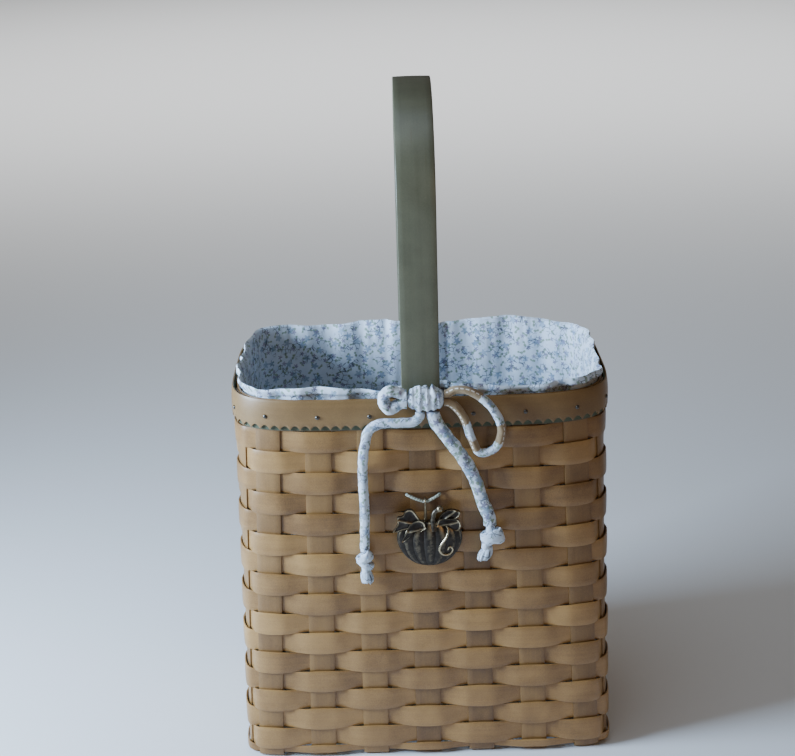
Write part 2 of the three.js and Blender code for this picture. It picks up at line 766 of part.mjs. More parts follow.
// Tie. The knot hangs in front of the band; its ends and its underside are flat where the strips
// leave it.
const bandFace = -(halfDepth + bandInner + bandThickness);
const knotFront = bandFace - gap - knotHalfDepth;
const knotHeight = bandTop + knotRise;

function bowKnot() {
  const profile = [
    [0, -1],
    [0.66, -1],
    [0.96, -0.5],
    [1, 0],
    [0.96, 0.5],
    [0.66, 1],
    [0, 1],
  ].map(([x, y]) => new THREE.Vector2(x, y));
  const geometry = new THREE.LatheGeometry(profile, 12);
  geometry.rotateZ(Math.PI / 2).rotateX(Math.PI / 12);
  geometry.scale(knotHalfWidth, knotHalfDepth, knotHalfHeight);
  return geometry.translate(knotSide, knotFront, knotHeight);
}
add('bow_knot', bowKnot(), 'tie');

const strand = bowDiameter / 2 + gap; // two strands leave each end of the knot, one over the other
const knotLeft = knotSide - knotHalfWidth - gap;
const knotRight = knotSide + knotHalfWidth + gap;
const bowLeft = [
  [knotLeft, knotFront, knotHeight + strand],
  [knotLeft - 3, knotFront, knotHeight + strand],
  [knotLeft - 8, knotFront, knotHeight + strand + 2.5],
  [knotLeft - 15, knotFront - 1, knotHeight + strand + 3.5],
  [knotLeft - 20, knotFront - 1, knotHeight + 1],
  [knotLeft - 15, knotFront - 1, knotHeight - strand - 4],
  [knotLeft - 8, knotFront, knotHeight - strand - 1.5],
  [knotLeft - 3, knotFront, knotHeight - strand],
  [knotLeft, knotFront, knotHeight - strand],
];
add('bow_left', tube(bowLeft, bowDiameter, 8, 16), 'tie');

const bowRight = [
  [knotRight, knotFront, knotHeight + strand],
  [knotRight + 3, knotFront, knotHeight + strand],
  [knotRight + 9, knotFront, knotHeight + strand + 3],
  [knotRight + 22, knotFront - 1, knotHeight + 5],
  [knotRight + 38, knotFront - 1, knotHeight - 8],
  [knotRight + 47, knotFront, knotHeight - 28],
  [knotRight + 42, knotFront + 1, knotHeight - 46],
  [knotRight + 29, knotFront + 1, knotHeight - 50],
  [knotRight + 22, knotFront, knotHeight - 36],
  [knotRight + 16, knotFront, knotHeight - 18],
  [knotRight + 9, knotFront, knotHeight - strand - 4],
  [knotRight + 3, knotFront, knotHeight - strand],
  [knotRight, knotFront, knotHeight - strand],
];
add('bow_right', tube(bowRight, bowDiameter, 8, 22), 'tie');

const knotUnder = knotHeight - knotHalfHeight - gap;
const wallAt = (diameter) => -(halfDepth + weaverReach) - gap - diameter / 2;
const leftFace = wallAt(tieDiameter);
const tailLeft = [
  [knotSide - 5, knotFront, knotUnder],
  [knotSide - 5, knotFront, knotUnder - 3],
  [knotSide - 9, knotFront, knotUnder - 8],
  [knotSide - 22, knotFront, knotUnder - 9],
  [-35, knotFront, knotUnder - 9.5],
  [-44, knotFront, knotUnder - 15],
  [-47.5, knotFront, knotUnder - 26],
  [-49.5, knotFront + 1, knotUnder - 40],
  [-50.5, leftFace, knotUnder - 57],
  [-50, leftFace, knotUnder - 77],
  [-50, leftFace, knotUnder - 100],
  [-51, leftFace, knotUnder - 125],
];
add('tail_left', tube(tailLeft, tieDiameter, 8, 22), 'tie');

const rightFace = wallAt(wideTieDiameter);
const tailRight = [
  [knotSide + 6, knotFront, knotUnder],
  [knotSide + 6, knotFront, knotUnder - 3],
  [knotSide + 8.5, knotFront, knotUnder - 10],
  [knotSide + 17, knotFront, knotUnder - 23],
  [32, knotFront + 1, knotUnder - 40],
  [40, rightFace, knotUnder - 55],
  [45, rightFace, knotUnder - 67],
  [50, rightFace, knotUnder - 84],
  [55, rightFace, knotUnder - 97],
  [56, rightFace, knotUnder - 102.5],
  [56, rightFace, knotUnder - 106],
];
add('tail_right', tube(tailRight, wideTieDiameter, 8, 18), 'tie');

// Each tail ends in an overhand knot with a frayed tip below it
function tailEnd(points, diameter) {
  const [x, y, z] = points[points.length - 1];
  const profile = [
    [0, 0],
    [diameter / 2, 0],
    [endRadius, -endHeight * 0.3],
    [endRadius, -endHeight * 0.65],
    [tieDiameter * 0.45, -endHeight],
    [tieDiameter * 0.6, -endHeight - tipHeight],
    [0, -endHeight - tipHeight],
  ].map(([r, h]) => new THREE.Vector2(r, h));
  const geometry = new THREE.LatheGeometry(profile.reverse(), 10);
  geometry.rotateX(Math.PI / 2);
  return geometry.translate(x, y - (endRadius - diameter / 2), z - gap);
}
add('tail_end_left', tailEnd(tailLeft, tieDiameter), 'tie');
add('tail_end_right', tailEnd(tailRight, wideTieDiameter), 'tie');

export default basket;
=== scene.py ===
# %% [markdown]
# A woven splint basket, dressed in Blender over its CAD model
#
# The CAD model gives every piece its place, size and motion. This script gives it its looks: splints
# with rounded edges and a soft weave, a crowned rim band with a pinked edge, a bent handle, a fabric
# liner, a rolled fabric tie and a small cast charm. Each step starts with a cell like this one, which
# says what the real piece is and why it is made this way.

# %% Load the CAD model
import contextlib
import json
import math
import bpy
import numpy as np
from mathutils import Matrix, Vector, noise
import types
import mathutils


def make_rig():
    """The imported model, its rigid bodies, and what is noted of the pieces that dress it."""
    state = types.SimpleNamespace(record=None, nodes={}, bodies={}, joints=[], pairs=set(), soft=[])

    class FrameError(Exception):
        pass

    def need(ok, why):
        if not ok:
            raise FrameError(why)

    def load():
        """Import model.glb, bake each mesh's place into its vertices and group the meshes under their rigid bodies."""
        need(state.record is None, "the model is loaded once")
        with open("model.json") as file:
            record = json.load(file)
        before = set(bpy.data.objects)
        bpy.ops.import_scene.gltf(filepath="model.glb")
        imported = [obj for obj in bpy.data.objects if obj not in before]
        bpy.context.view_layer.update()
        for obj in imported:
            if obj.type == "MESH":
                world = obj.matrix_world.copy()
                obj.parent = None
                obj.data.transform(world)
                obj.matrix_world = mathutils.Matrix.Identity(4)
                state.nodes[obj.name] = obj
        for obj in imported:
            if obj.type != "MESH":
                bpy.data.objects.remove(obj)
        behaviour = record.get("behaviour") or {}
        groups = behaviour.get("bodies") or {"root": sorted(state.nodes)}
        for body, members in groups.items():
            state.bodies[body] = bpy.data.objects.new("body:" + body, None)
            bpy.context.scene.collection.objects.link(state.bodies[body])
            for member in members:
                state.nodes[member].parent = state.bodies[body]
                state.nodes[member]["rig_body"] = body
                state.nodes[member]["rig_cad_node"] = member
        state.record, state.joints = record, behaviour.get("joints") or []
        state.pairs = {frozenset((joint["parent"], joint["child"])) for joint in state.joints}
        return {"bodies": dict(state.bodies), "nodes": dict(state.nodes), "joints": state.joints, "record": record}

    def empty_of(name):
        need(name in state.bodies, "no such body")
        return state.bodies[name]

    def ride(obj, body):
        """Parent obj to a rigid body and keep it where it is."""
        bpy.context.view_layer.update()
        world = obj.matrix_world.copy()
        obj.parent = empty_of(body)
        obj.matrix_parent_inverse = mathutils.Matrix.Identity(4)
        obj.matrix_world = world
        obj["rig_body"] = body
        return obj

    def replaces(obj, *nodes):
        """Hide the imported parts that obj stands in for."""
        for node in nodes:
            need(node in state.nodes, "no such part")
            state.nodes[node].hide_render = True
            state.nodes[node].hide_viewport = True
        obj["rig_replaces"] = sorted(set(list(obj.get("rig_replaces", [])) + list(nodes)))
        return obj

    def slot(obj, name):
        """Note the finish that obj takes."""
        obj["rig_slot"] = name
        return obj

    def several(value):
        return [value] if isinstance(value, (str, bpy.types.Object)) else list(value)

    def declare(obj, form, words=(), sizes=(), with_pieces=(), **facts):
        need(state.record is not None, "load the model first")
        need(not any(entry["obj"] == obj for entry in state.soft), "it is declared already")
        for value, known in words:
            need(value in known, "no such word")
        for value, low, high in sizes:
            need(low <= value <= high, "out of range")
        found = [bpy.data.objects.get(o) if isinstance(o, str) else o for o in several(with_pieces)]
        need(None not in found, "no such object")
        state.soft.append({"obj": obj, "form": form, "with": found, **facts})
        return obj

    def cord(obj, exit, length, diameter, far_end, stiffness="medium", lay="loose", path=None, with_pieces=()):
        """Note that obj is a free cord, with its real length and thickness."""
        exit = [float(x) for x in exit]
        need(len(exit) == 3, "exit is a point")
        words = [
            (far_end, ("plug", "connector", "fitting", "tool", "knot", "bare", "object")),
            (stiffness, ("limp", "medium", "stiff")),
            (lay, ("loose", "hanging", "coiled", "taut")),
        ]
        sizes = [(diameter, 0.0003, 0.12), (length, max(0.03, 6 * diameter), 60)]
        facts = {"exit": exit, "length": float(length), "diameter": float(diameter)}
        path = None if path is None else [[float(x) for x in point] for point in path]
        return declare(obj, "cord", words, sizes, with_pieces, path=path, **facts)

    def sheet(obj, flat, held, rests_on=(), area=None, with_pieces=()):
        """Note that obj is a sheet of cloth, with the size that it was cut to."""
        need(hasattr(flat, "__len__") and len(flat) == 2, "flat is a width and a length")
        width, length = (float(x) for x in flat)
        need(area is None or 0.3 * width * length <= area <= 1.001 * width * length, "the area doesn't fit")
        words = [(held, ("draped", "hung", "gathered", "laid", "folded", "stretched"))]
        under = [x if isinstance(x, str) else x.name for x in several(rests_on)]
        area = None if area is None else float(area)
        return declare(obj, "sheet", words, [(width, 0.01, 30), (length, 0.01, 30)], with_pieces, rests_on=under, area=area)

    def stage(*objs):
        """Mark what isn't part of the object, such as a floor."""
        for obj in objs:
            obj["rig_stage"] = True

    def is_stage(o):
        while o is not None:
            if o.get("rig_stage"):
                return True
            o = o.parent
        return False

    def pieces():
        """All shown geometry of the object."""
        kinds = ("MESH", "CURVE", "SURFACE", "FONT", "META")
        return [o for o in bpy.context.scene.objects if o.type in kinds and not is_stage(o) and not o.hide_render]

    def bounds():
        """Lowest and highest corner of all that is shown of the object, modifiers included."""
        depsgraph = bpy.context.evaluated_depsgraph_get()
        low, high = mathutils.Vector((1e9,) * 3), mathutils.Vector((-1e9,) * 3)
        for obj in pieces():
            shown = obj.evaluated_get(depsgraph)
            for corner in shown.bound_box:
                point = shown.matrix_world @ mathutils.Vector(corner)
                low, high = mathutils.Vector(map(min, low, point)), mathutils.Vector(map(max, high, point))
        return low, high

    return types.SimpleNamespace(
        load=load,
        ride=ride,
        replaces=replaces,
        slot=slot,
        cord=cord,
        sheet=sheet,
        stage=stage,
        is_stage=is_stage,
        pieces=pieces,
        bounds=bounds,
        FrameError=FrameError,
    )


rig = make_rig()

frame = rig.load()
cad_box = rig.bounds()
print("CAD box", cad_box)

# %% [markdown]
# The camera
#
# The photograph was taken from in front and a little above the rim. The camera's place and its three
# turns come from a fit of the CAD model's rows, uprights, rim and handle to their places in the
# photograph. A focal length in pixels becomes millimetres on Blender's 36 mm wide sensor.

# %% Camera
IMAGE_WIDTH = 795
FOCAL_PIXELS = 1508.6
SENSOR_WIDTH = 36.0
CAMERA_AT = (-0.022, -1.2696, 0.7737)
HEADING, TILT_DOWN, ROLL = -0.15, 19.42, -1.68
camera_data = bpy.data.cameras.new("camera")
camera_data.sensor_width = SENSOR_WIDTH
camera_data.lens = FOCAL_PIXELS / IMAGE_WIDTH * SENSOR_WIDTH
camera = bpy.data.objects.new("camera", camera_data)
bpy.context.scene.collection.objects.link(camera)
aim = Matrix.Rotation(math.radians(HEADING), 4, "Z")
aim @= Matrix.Rotation(math.radians(90 - TILT_DOWN), 4, "X")
aim @= Matrix.Rotation(math.radians(ROLL), 4, "Z")
camera.matrix_world = Matrix.Translation(CAMERA_AT) @ aim
bpy.context.scene.camera = camera
print("lens", round(camera_data.lens, 1), "mm")

# %% [markdown]
# Small helpers: pieces
#
# Blender's operators act on what is selected, so `deselect` comes before every new primitive, and
# `edit_mode` selects a piece and opens it for a few lines. The others turn its faces outwards, apply its
# modifiers, round its edges, and join pieces into one. `settle` applies a piece's own turn and size, and
# shades it smooth but for its real edges. `belongs` finishes a piece: it gives the material, and says
# which CAD solids the piece replaces.

# %% Helpers for pieces
def deselect():
    bpy.ops.object.select_all(action="DESELECT")


def activate(piece):
    deselect()
    piece.select_set(True)
    bpy.context.view_layer.objects.active = piece


def named(name):
    """The primitive that was just added, with its name."""
    piece = bpy.context.object
    piece.name = name
    return piece


@contextlib.contextmanager
def edit_mode(piece, everything=True):
    """The lines in this block run in edit mode, on the whole piece or on what is selected in it."""
    activate(piece)
    bpy.ops.object.mode_set(mode="EDIT")
    if everything:
        bpy.ops.mesh.select_all(action="SELECT")
    yield
    bpy.ops.object.mode_set(mode="OBJECT")


def face_outwards(piece):
    with edit_mode(piece):
        bpy.ops.mesh.normals_make_consistent(inside=False)


def apply_modifiers(piece):
    activate(piece)
    for modifier in list(piece.modifiers):
        bpy.ops.object.modifier_apply(modifier=modifier.name)


def soften(piece, width, segments=2, degrees=50):
    """Round the edges that turn by more than some degrees."""
    bevel = piece.modifiers.new("soft_edge", "BEVEL")
    bevel.width = width * MM
    bevel.segments = segments
    bevel.limit_method = "ANGLE"
    bevel.angle_limit = math.radians(degrees)


def join(pieces):
    """Join pieces into the first of them."""
    activate(pieces[0])
    for piece in pieces:
        piece.select_set(True)
    bpy.ops.object.join()
    return pieces[0]


def settle(piece):
    activate(piece)
    bpy.ops.object.transform_apply(location=True, rotation=True, scale=True)
    bpy.ops.object.shade_smooth_by_angle(angle=math.radians(40))
    return piece


def belongs(piece, nodes, slot, look, tone=None, body="basket"):
    """Finish a piece: its material, its tone, its slot in the record, and the CAD body it rides on."""
    piece.data.materials.clear()
    piece.data.materials.append(look)
    if tone is not None:
        mark(piece, "tone", tone)
    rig.ride(piece, body)
    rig.slot(piece, slot)
    if nodes:
        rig.replaces(piece, *nodes)
    return piece


print("helpers for pieces ready")

# %% [markdown]
# Small helpers: points
#
# Sizes are in millimetres, as a maker would write them, and MM turns them to metres. Shapes here come
# from moving a primitive's points by a rule, so `coordinates` and `place` read and write all points at
# once. `mark` gives each point a number that a material can read, such as a tone. More points are made
# only along one direction, where a piece is long, which keeps the mesh light.

# %% Helpers for points
MM = 0.001


def coordinates(piece):
    flat = np.empty(len(piece.data.vertices) * 3)
    piece.data.vertices.foreach_get("co", flat)
    return flat.reshape(-1, 3)


def place(piece, points):
    piece.data.vertices.foreach_set("co", np.asarray(points, float).ravel())
    piece.data.update()


def mark(piece, name, values):
    made = piece.data.attributes.new(name, "FLOAT", "POINT")
    made.data.foreach_set("value", np.broadcast_to(values, len(piece.data.vertices)).astype(float))


def fresh_uv(piece):
    """A new empty UV map, `cloth`, instead of the primitive's own."""
    piece.data.uv_layers.new(name="cloth")
    if "UVMap" in piece.data.uv_layers:
        piece.data.uv_layers.remove(piece.data.uv_layers["UVMap"])
    return piece.data.uv_layers["cloth"].data


def roughness_at(*axes):
    """Blender's smooth noise at many points, whose x, y and z are arrays or numbers."""
    return np.array([noise.noise(spot) for spot in zip(*np.broadcast_arrays(*axes))])


def subdivide_along(piece, axis, cuts):
    """Cut only the edges that run along one axis: a new primitive comes with all of them selected.

    Edges are the select mode before edit mode starts, because vertices would select all edges again.
    """
    ends = coordinates(piece)
    for group in (piece.data.vertices, piece.data.edges, piece.data.polygons):
        group.foreach_set("select", np.zeros(len(group), bool))
    bpy.context.scene.tool_settings.mesh_select_mode = (False, True, False)
    for edge in piece.data.edges:
        a, b = ends[edge.vertices[0]], ends[edge.vertices[1]]
        edge.select = bool(abs(a[axis] - b[axis]) > 1e-4 and np.abs(np.delete(a - b, axis)).max() < 1e-4)
    with edit_mode(piece, everything=False):
        bpy.ops.mesh.subdivide(number_cuts=cuts)


print("helpers for points ready")

# %% [markdown]
# Small helpers: materials
#
# Every material is built from Blender's own texture nodes, without pictures, so that it fits at any
# distance. `node` adds one shader node with its settings and links. A link may name a node, which means
# its first output. Colours are written as sRGB hex codes, as they are seen on a screen, and `linear`
# turns them to the linear colours that a shader needs.

# %% Helpers for materials
def linear(code):
    channels = [int(code[i:i + 2], 16) / 255 for i in (1, 3, 5)]
    channels = [c / 12.92 if c <= 0.04045 else ((c + 0.055) / 1.055) ** 2.4 for c in channels]
    return (*channels, 1.0)


def connect(made, inputs):
    """Set or link a shader node's inputs: to a number, a hex colour, another node or one of its outputs."""
    for socket, value in inputs.items():
        if isinstance(value, bpy.types.Node):
            value = value.outputs[0]
        if isinstance(value, bpy.types.NodeSocket):
            made.id_data.links.new(value, made.inputs[socket])
        else:
            made.inputs[socket].default_value = linear(value) if isinstance(value, str) else value


def node(tree, kind, inputs=None, **settings):
    made = tree.nodes.new("ShaderNode" + kind)
    for name, value in settings.items():
        setattr(made, name, value)
    connect(made, inputs or {})
    return made


def new_look(name):
    """A new material, with its node tree and its shader."""
    look = bpy.data.materials.new(name)
    look.use_nodes = True
    return look, look.node_tree, look.node_tree.nodes["Principled BSDF"]


print("helpers for materials ready")

# %% [markdown]
# The wall
#
# Seen from above the basket is a rectangle with rounded corners, squarer at the base than at the rim.
# A superellipse describes it with one number for its squareness. Everything that follows the wall is
# placed by three numbers: a length along the rim, a height, and an offset outwards from the middle
# of the uprights' thickness. These are the sizes and the rules that the CAD model was built with.

# %% Outlines
RIM_HALF = 158.5
BASE_HALF = 163.0
DEPTH_HALF = 95.5
RIM_SQUARENESS = 5
BASE_SQUARENESS = 14
UPRIGHT_WIDTH = 22.2
UPRIGHT_THICK = 1.3
WEAVER_THICK = 1.2
CROSSING = 1.55
WALL_START = 4.45
ROWS_TOP = 314.9
BAND_BOTTOM = 316.4
BAND_TOP = 342.4
BAND_INNER = 2.25


def outline(half_width, half_depth, squareness):
    turn = -np.pi / 2 + 2 * np.pi * np.arange(2881) / 2880
    across, back = np.cos(turn), np.sin(turn)
    total = np.abs(across / half_width) ** squareness + np.abs(back / half_depth) ** squareness
    reach = total ** (-1 / squareness)
    points = np.stack([reach * across, reach * back], axis=1)
    steps = np.hypot(*np.diff(points, axis=0).T)
    lengths = np.concatenate([[0], np.cumsum(steps)])
    return points, lengths, (half_width, half_depth, squareness)


def on_outline(shape, length):
    points, lengths, (half_width, half_depth, squareness) = shape
    wrapped = np.mod(length, lengths[-1])
    spot = np.stack([np.interp(wrapped, lengths, points[:, i]) for i in (0, 1)], axis=-1)
    slope = np.sign(spot) * np.abs(spot / (half_width, half_depth)) ** (squareness - 1)
    normal = slope / (half_width, half_depth)
    return spot, normal / np.linalg.norm(normal, axis=-1, keepdims=True)


RIM = outline(RIM_HALF, DEPTH_HALF, RIM_SQUARENESS)
BASE = outline(BASE_HALF, DEPTH_HALF, BASE_SQUARENESS)
AROUND = RIM[1][-1]
AROUND_BASE = BASE[1][-1]
print("rim", round(AROUND, 1), "mm round, base", round(AROUND_BASE, 1), "mm")

# %% Places of the uprights
# The middle of each upright along the rim and along the base, from the middle of the front
FRONT_STEPS = [-3, -2, -1, 0, 1, 2, 3]
SIDE_STEPS = [-1.5, -0.5, 0.5, 1.5]
RIM_PITCH = {0: 43.0, 1: 44.0}
BASE_PITCH = {0: 47.5, 1: 50.0}
places = []
for face in range(4):
    for step in (FRONT_STEPS if face % 2 == 0 else SIDE_STEPS):
        at_rim = face * AROUND / 4 + step * RIM_PITCH[face % 2]
        at_base = face * AROUND_BASE / 4 + step * BASE_PITCH[face % 2]
        places.append((at_rim, at_base))
places = places[3:] + [(r + AROUND, b + AROUND_BASE) for r, b in places[:3]]
RIM_PLACES = np.array([r for r, b in places])
BASE_PLACES = np.array([b for r, b in places])
UPRIGHTS = len(places)

# Both edges of every upright, and the edge of the first one again a full turn further on
edge_steps = np.array([-UPRIGHT_WIDTH / 2, UPRIGHT_WIDTH / 2])
RIM_KNOTS = np.append((RIM_PLACES[:, None] + edge_steps).ravel(), AROUND - UPRIGHT_WIDTH / 2)
BASE_KNOTS = np.append((BASE_PLACES[:, None] + edge_steps).ravel(), AROUND_BASE - UPRIGHT_WIDTH / 2)
print(UPRIGHTS, "ends of uprights")


# %% Wall
def wall(length, height, offset):
    """The points on the wall, in metres, for lengths along the rim, heights and offsets outwards."""
    length, height, offset = np.broadcast_arrays(length, height, offset)
    start = RIM_KNOTS[0]
    under = np.interp(np.mod(length - start, AROUND) + start, RIM_KNOTS, BASE_KNOTS)
    low, low_normal = on_outline(BASE, under)
    high, high_normal = on_outline(RIM, length)
    share = ((height - WALL_START) / (BAND_TOP - WALL_START))[..., None]
    normal = low_normal * (1 - share) + high_normal * share
    normal = normal / np.linalg.norm(normal, axis=-1, keepdims=True)
    spot = low * (1 - share) + high * share + normal * offset[..., None]
    return np.concatenate([spot, height[..., None]], axis=-1) * MM


print("middle of the front at the rim", wall(0, BAND_TOP, 0).round(4))

# %% [markdown]
# Floor and light
#
# The basket stands by a cool window on its left in the photograph, and its right side falls into
# shade. The window's light comes from the left, nearly level with the front wall, so it grazes the
# weave and picks out each splint that leans to the left. A weak warm fill keeps the shaded side
# readable, a soft light from above reaches the liner, and a broad one far behind keeps the plain pale
# floor even.

# %% Floor and light
deselect()
bpy.ops.mesh.primitive_plane_add(size=30)
floor = named("floor")
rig.stage(floor)
floor_look, _, floor_shader = new_look("pale_floor")
connect(floor_shader, {"Base Color": "#e3e2e0", "Roughness": 0.9})
floor.data.materials.append(floor_look)

world = bpy.data.worlds.new("studio")
bpy.context.scene.world = world
world.use_nodes = True
connect(world.node_tree.nodes["Background"], {"Color": "#f2eee8", "Strength": 0.13})


def soft_light(name, spot, target, size, power, colour, spread=180):
    deselect()
    bpy.ops.object.light_add(type="AREA", location=spot)
    light = named(name)
    light.data.size = size
    light.data.energy = power
    light.data.color = linear(colour)[:3]
    light.data.spread = math.radians(spread)
    aim = Vector(target) - Vector(spot)
    light.rotation_euler = aim.to_track_quat("-Z", "Y").to_euler()


soft_light("window", (-1.0, -0.29, 0.6), (0, -0.1, 0.55), 0.42, 44, "#bfdafa", spread=170)
soft_light("fill", (0.9, -1.7, 0.8), (0, 0, 0.3), 1.2, 1.5, "#ffc888", spread=120)
soft_light("top", (-0.3, -0.35, 1.8), (0, 0, 0.3), 1.0, 5.5, "#d8e9fc")
soft_light("backdrop", (0.0, 5.0, 3.0), (0, 6.5, 0), 6.0, 330, "#f4f7fb")
print("floor and", len(bpy.data.lights), "lights")

# %% [markdown]
# Printed cotton
#
# The liner and the tie are cut from one printed cotton: an off-white plain weave with small sprigs and
# dabs in green, blue and dull violet, and a plain tan reverse. Printed cotton is matt with a little
# sheen. The pattern reads the piece's own UV map, laid out in metres, so it follows the cloth round
# every fold. Each sprig is drawn round the middle of a Voronoi cell, as petals or as a pair of leaves,
# with a little wobble, so no two are alike.

# %% Sprigs
INK_EDGE = 0.5 * MM
# Each motif: two inks, the spacing of its cells, their shift, its radius, its petals, and its waist as
# a share of the radius
MOTIFS = [
    ("#6d8468", "#7f9474", 0.0085, 1.73, 0.0030, 2, 0.2),
    ("#93abc0", "#7d93b0", 0.0150, 0.31, 0.0040, 5, 0.5),
    ("#8d86a3", "#6f6a88", 0.0120, 3.11, 0.0026, 5, 0.45),
]


def sprigs(tree, uv, dense, spacing, shift, radius, petals, waist):
    """One motif per Voronoi cell: petals round its middle. Gives where it is, and the cell's own number."""
    moved = node(tree, "VectorMath", {0: uv, 1: (shift, shift, 0)}, operation="ADD")
    cells = node(tree, "TexVoronoi", {"Vector": moved, "Scale": 1 / spacing, "Randomness": 0.8},
                 voronoi_dimensions="2D")
    own = node(tree, "SeparateColor", {"Color": cells.outputs["Color"]})
    toward = node(tree, "VectorMath", {0: moved, 1: cells.outputs["Position"]}, operation="SUBTRACT")
    parts = node(tree, "SeparateXYZ", {"Vector": toward})
    angle = node(tree, "Math", {0: parts.outputs["Y"], 1: parts.outputs["X"]}, operation="ARCTAN2")
    phase = node(tree, "Math", {0: own, 1: 40.0}, operation="MULTIPLY")
    phase = node(tree, "Math", {0: angle, 1: float(petals), 2: phase}, operation="MULTIPLY_ADD")
    wave = node(tree, "Math", {0: phase}, operation="COSINE")
    reach = node(tree, "MapRange", {"Value": wave, "From Min": -1.0, "To Min": radius * waist,
                 "To Max": radius})
    grown = node(tree, "Math", {0: dense, 1: 12.0, 2: 1.0}, operation="MULTIPLY_ADD")
    reach = node(tree, "Math", {0: reach, 1: grown}, operation="MULTIPLY")
    away = node(tree, "VectorMath", {0: toward}, operation="LENGTH").outputs["Value"]
    inside = node(tree, "Math", {0: reach, 1: away}, operation="SUBTRACT")
    return node(tree, "MapRange", {"Value": inside, "From Max": INK_EDGE}), own


print("motifs", len(MOTIFS))

# %% [markdown]
# Printed cotton: the cloth
#
# The ground is a pale cloth whose tint drifts slowly, and the three motifs are laid on it one after the
# other, with uneven ink. The edges of other Voronoi cells give thin dark stems between them. Where a
# strip shows its reverse, the ground is tan and a line of pale stitches runs along it. The cloth's
# threads lie about 0.4 mm apart, too fine to show here, so their relief is drawn at 0.9 mm.

# %% Cotton
THREAD = 0.9 * MM
STITCH = 4.2 * MM
SEWN_AT = 15 * MM
STEM_SPACING = 12 * MM / 2.6


def cotton(name):
    """`dense` on a piece swells or shrinks the print, and `reverse` shows the cloth's plain back."""
    made, tree, shader = new_look(name)
    uv = node(tree, "UVMap", uv_map="cloth")
    drift = node(tree, "TexNoise", {"Vector": uv, "Scale": 90.0, "Detail": 3.0})
    strokes = node(tree, "TexNoise", {"Vector": uv, "Scale": 700.0, "Detail": 2.0})
    dense = node(tree, "Attribute", attribute_name="dense").outputs["Fac"]
    wobble = node(tree, "TexNoise", {"Vector": uv, "Scale": 420.0, "Detail": 2.0})
    loose = node(tree, "VectorMath", {0: wobble.outputs["Color"], 1: (0.0022, 0.0022, 0), 2: uv},
                 operation="MULTIPLY_ADD")
    colour = node(tree, "MixRGB", {"Fac": drift, "Color1": "#e8eef2", "Color2": "#afc7de"})
    for first, second, *motif in MOTIFS:
        mask, own = sprigs(tree, loose, dense, *motif)
        ink = node(tree, "MixRGB", {"Fac": own, "Color1": first, "Color2": second})
        faded = node(tree, "MapRange", {"Value": strokes, "To Min": 0.6, "To Max": 1.0})
        mask = node(tree, "Math", {0: mask, 1: faded}, operation="MULTIPLY")
        colour = node(tree, "MixRGB", {"Fac": mask, "Color1": colour, "Color2": ink})
    stems = node(tree, "TexVoronoi", {"Vector": uv, "Scale": 1 / STEM_SPACING}, feature="DISTANCE_TO_EDGE")
    thin = node(tree, "MapRange", {"Value": stems, "From Min": 0.02, "From Max": 0.06, "To Min": 1.0,
                "To Max": 0.0})
    here = node(tree, "MapRange", {"Value": drift, "From Min": 0.5, "From Max": 0.56})
    drawn = node(tree, "Math", {0: thin, 1: here}, operation="MULTIPLY")
    colour = node(tree, "MixRGB", {"Fac": drawn, "Color1": colour, "Color2": "#565a66"})
    parts = node(tree, "SeparateXYZ", {"Vector": uv})
    along, around = parts.outputs["X"], parts.outputs["Y"]
    turned = node(tree, "Attribute", attribute_name="reverse").outputs["Fac"]
    turned = node(tree, "Math", {0: drift, 1: 0.5, 2: turned}, operation="MULTIPLY_ADD")
    back = node(tree, "MapRange", {"Value": turned, "From Min": 0.74, "From Max": 0.78})
    tan = node(tree, "MixRGB", {"Fac": strokes, "Color1": "#7d6548", "Color2": "#a18a66"})
    dash = node(tree, "Math", {0: along, 1: 1 / STITCH}, operation="MULTIPLY")
    dash = node(tree, "Math", {0: dash}, operation="FRACT")
    dash = node(tree, "Math", {0: dash, 1: 0.62}, operation="LESS_THAN")
    off = node(tree, "Math", {0: around, 1: SEWN_AT}, operation="SUBTRACT")
    off = node(tree, "Math", {0: off}, operation="ABSOLUTE")
    off = node(tree, "Math", {0: off, 1: 0.0005}, operation="LESS_THAN")
    stitch = node(tree, "Math", {0: dash, 1: off}, operation="MULTIPLY")
    sewn = node(tree, "MixRGB", {"Fac": stitch, "Color1": tan, "Color2": "#e8e4da"})
    colour = node(tree, "MixRGB", {"Fac": back, "Color1": colour, "Color2": sewn})
    warp, weft = [node(tree, "TexWave", {"Vector": uv, "Scale": 1 / THREAD / 3.14, "Distortion": 0.4},
                       bands_direction=way).outputs["Fac"] for way in "XY"]
    threads = node(tree, "Math", {0: warp, 1: weft}, operation="ADD")
    crumple = node(tree, "TexNoise", {"Vector": uv, "Scale": 260.0, "Detail": 3.0})
    height = node(tree, "Math", {0: crumple, 1: 5.0, 2: threads}, operation="MULTIPLY_ADD")
    bump = node(tree, "Bump", {"Height": height, "Strength": 0.35, "Distance": 0.0004})
    connect(shader, {"Base Color": colour, "Roughness": 0.88, "Sheen Weight": 0.25,
                     "Sheen Roughness": 0.5, "Normal": bump})
    return made


tie_cotton = cotton("rolled_printed_cotton")
liner_cotton = cotton("printed_cotton_lining")
print("cotton", tie_cotton.name, "and", liner_cotton.name)

# %% [markdown]
# The tie: routes
#
# The tie is a strip of that cotton rolled up lengthwise into a soft rope, 7 to 12 mm across. It is
# knotted at the front foot of the handle in a lopsided bow: a short loop on the left, a long one that
# droops on the right, and two tails that hang down the weave, each with an overhand knot near its
# end. The routes are the CAD model's own, point for point, and a Catmull-Rom curve joins the points.
# It is limp, so it hangs straight down wherever nothing holds it.

# %% Routes of the tie
KNOT_FRONT = -107.3
KNOT_HEIGHT = 345.4
KNOT_UNDER = 333.6
STRAND = 3.7
KNOT_LEFT = -11.8
KNOT_RIGHT = 18.8
LEFT_FACE = -102.15
RIGHT_FACE = -103.15


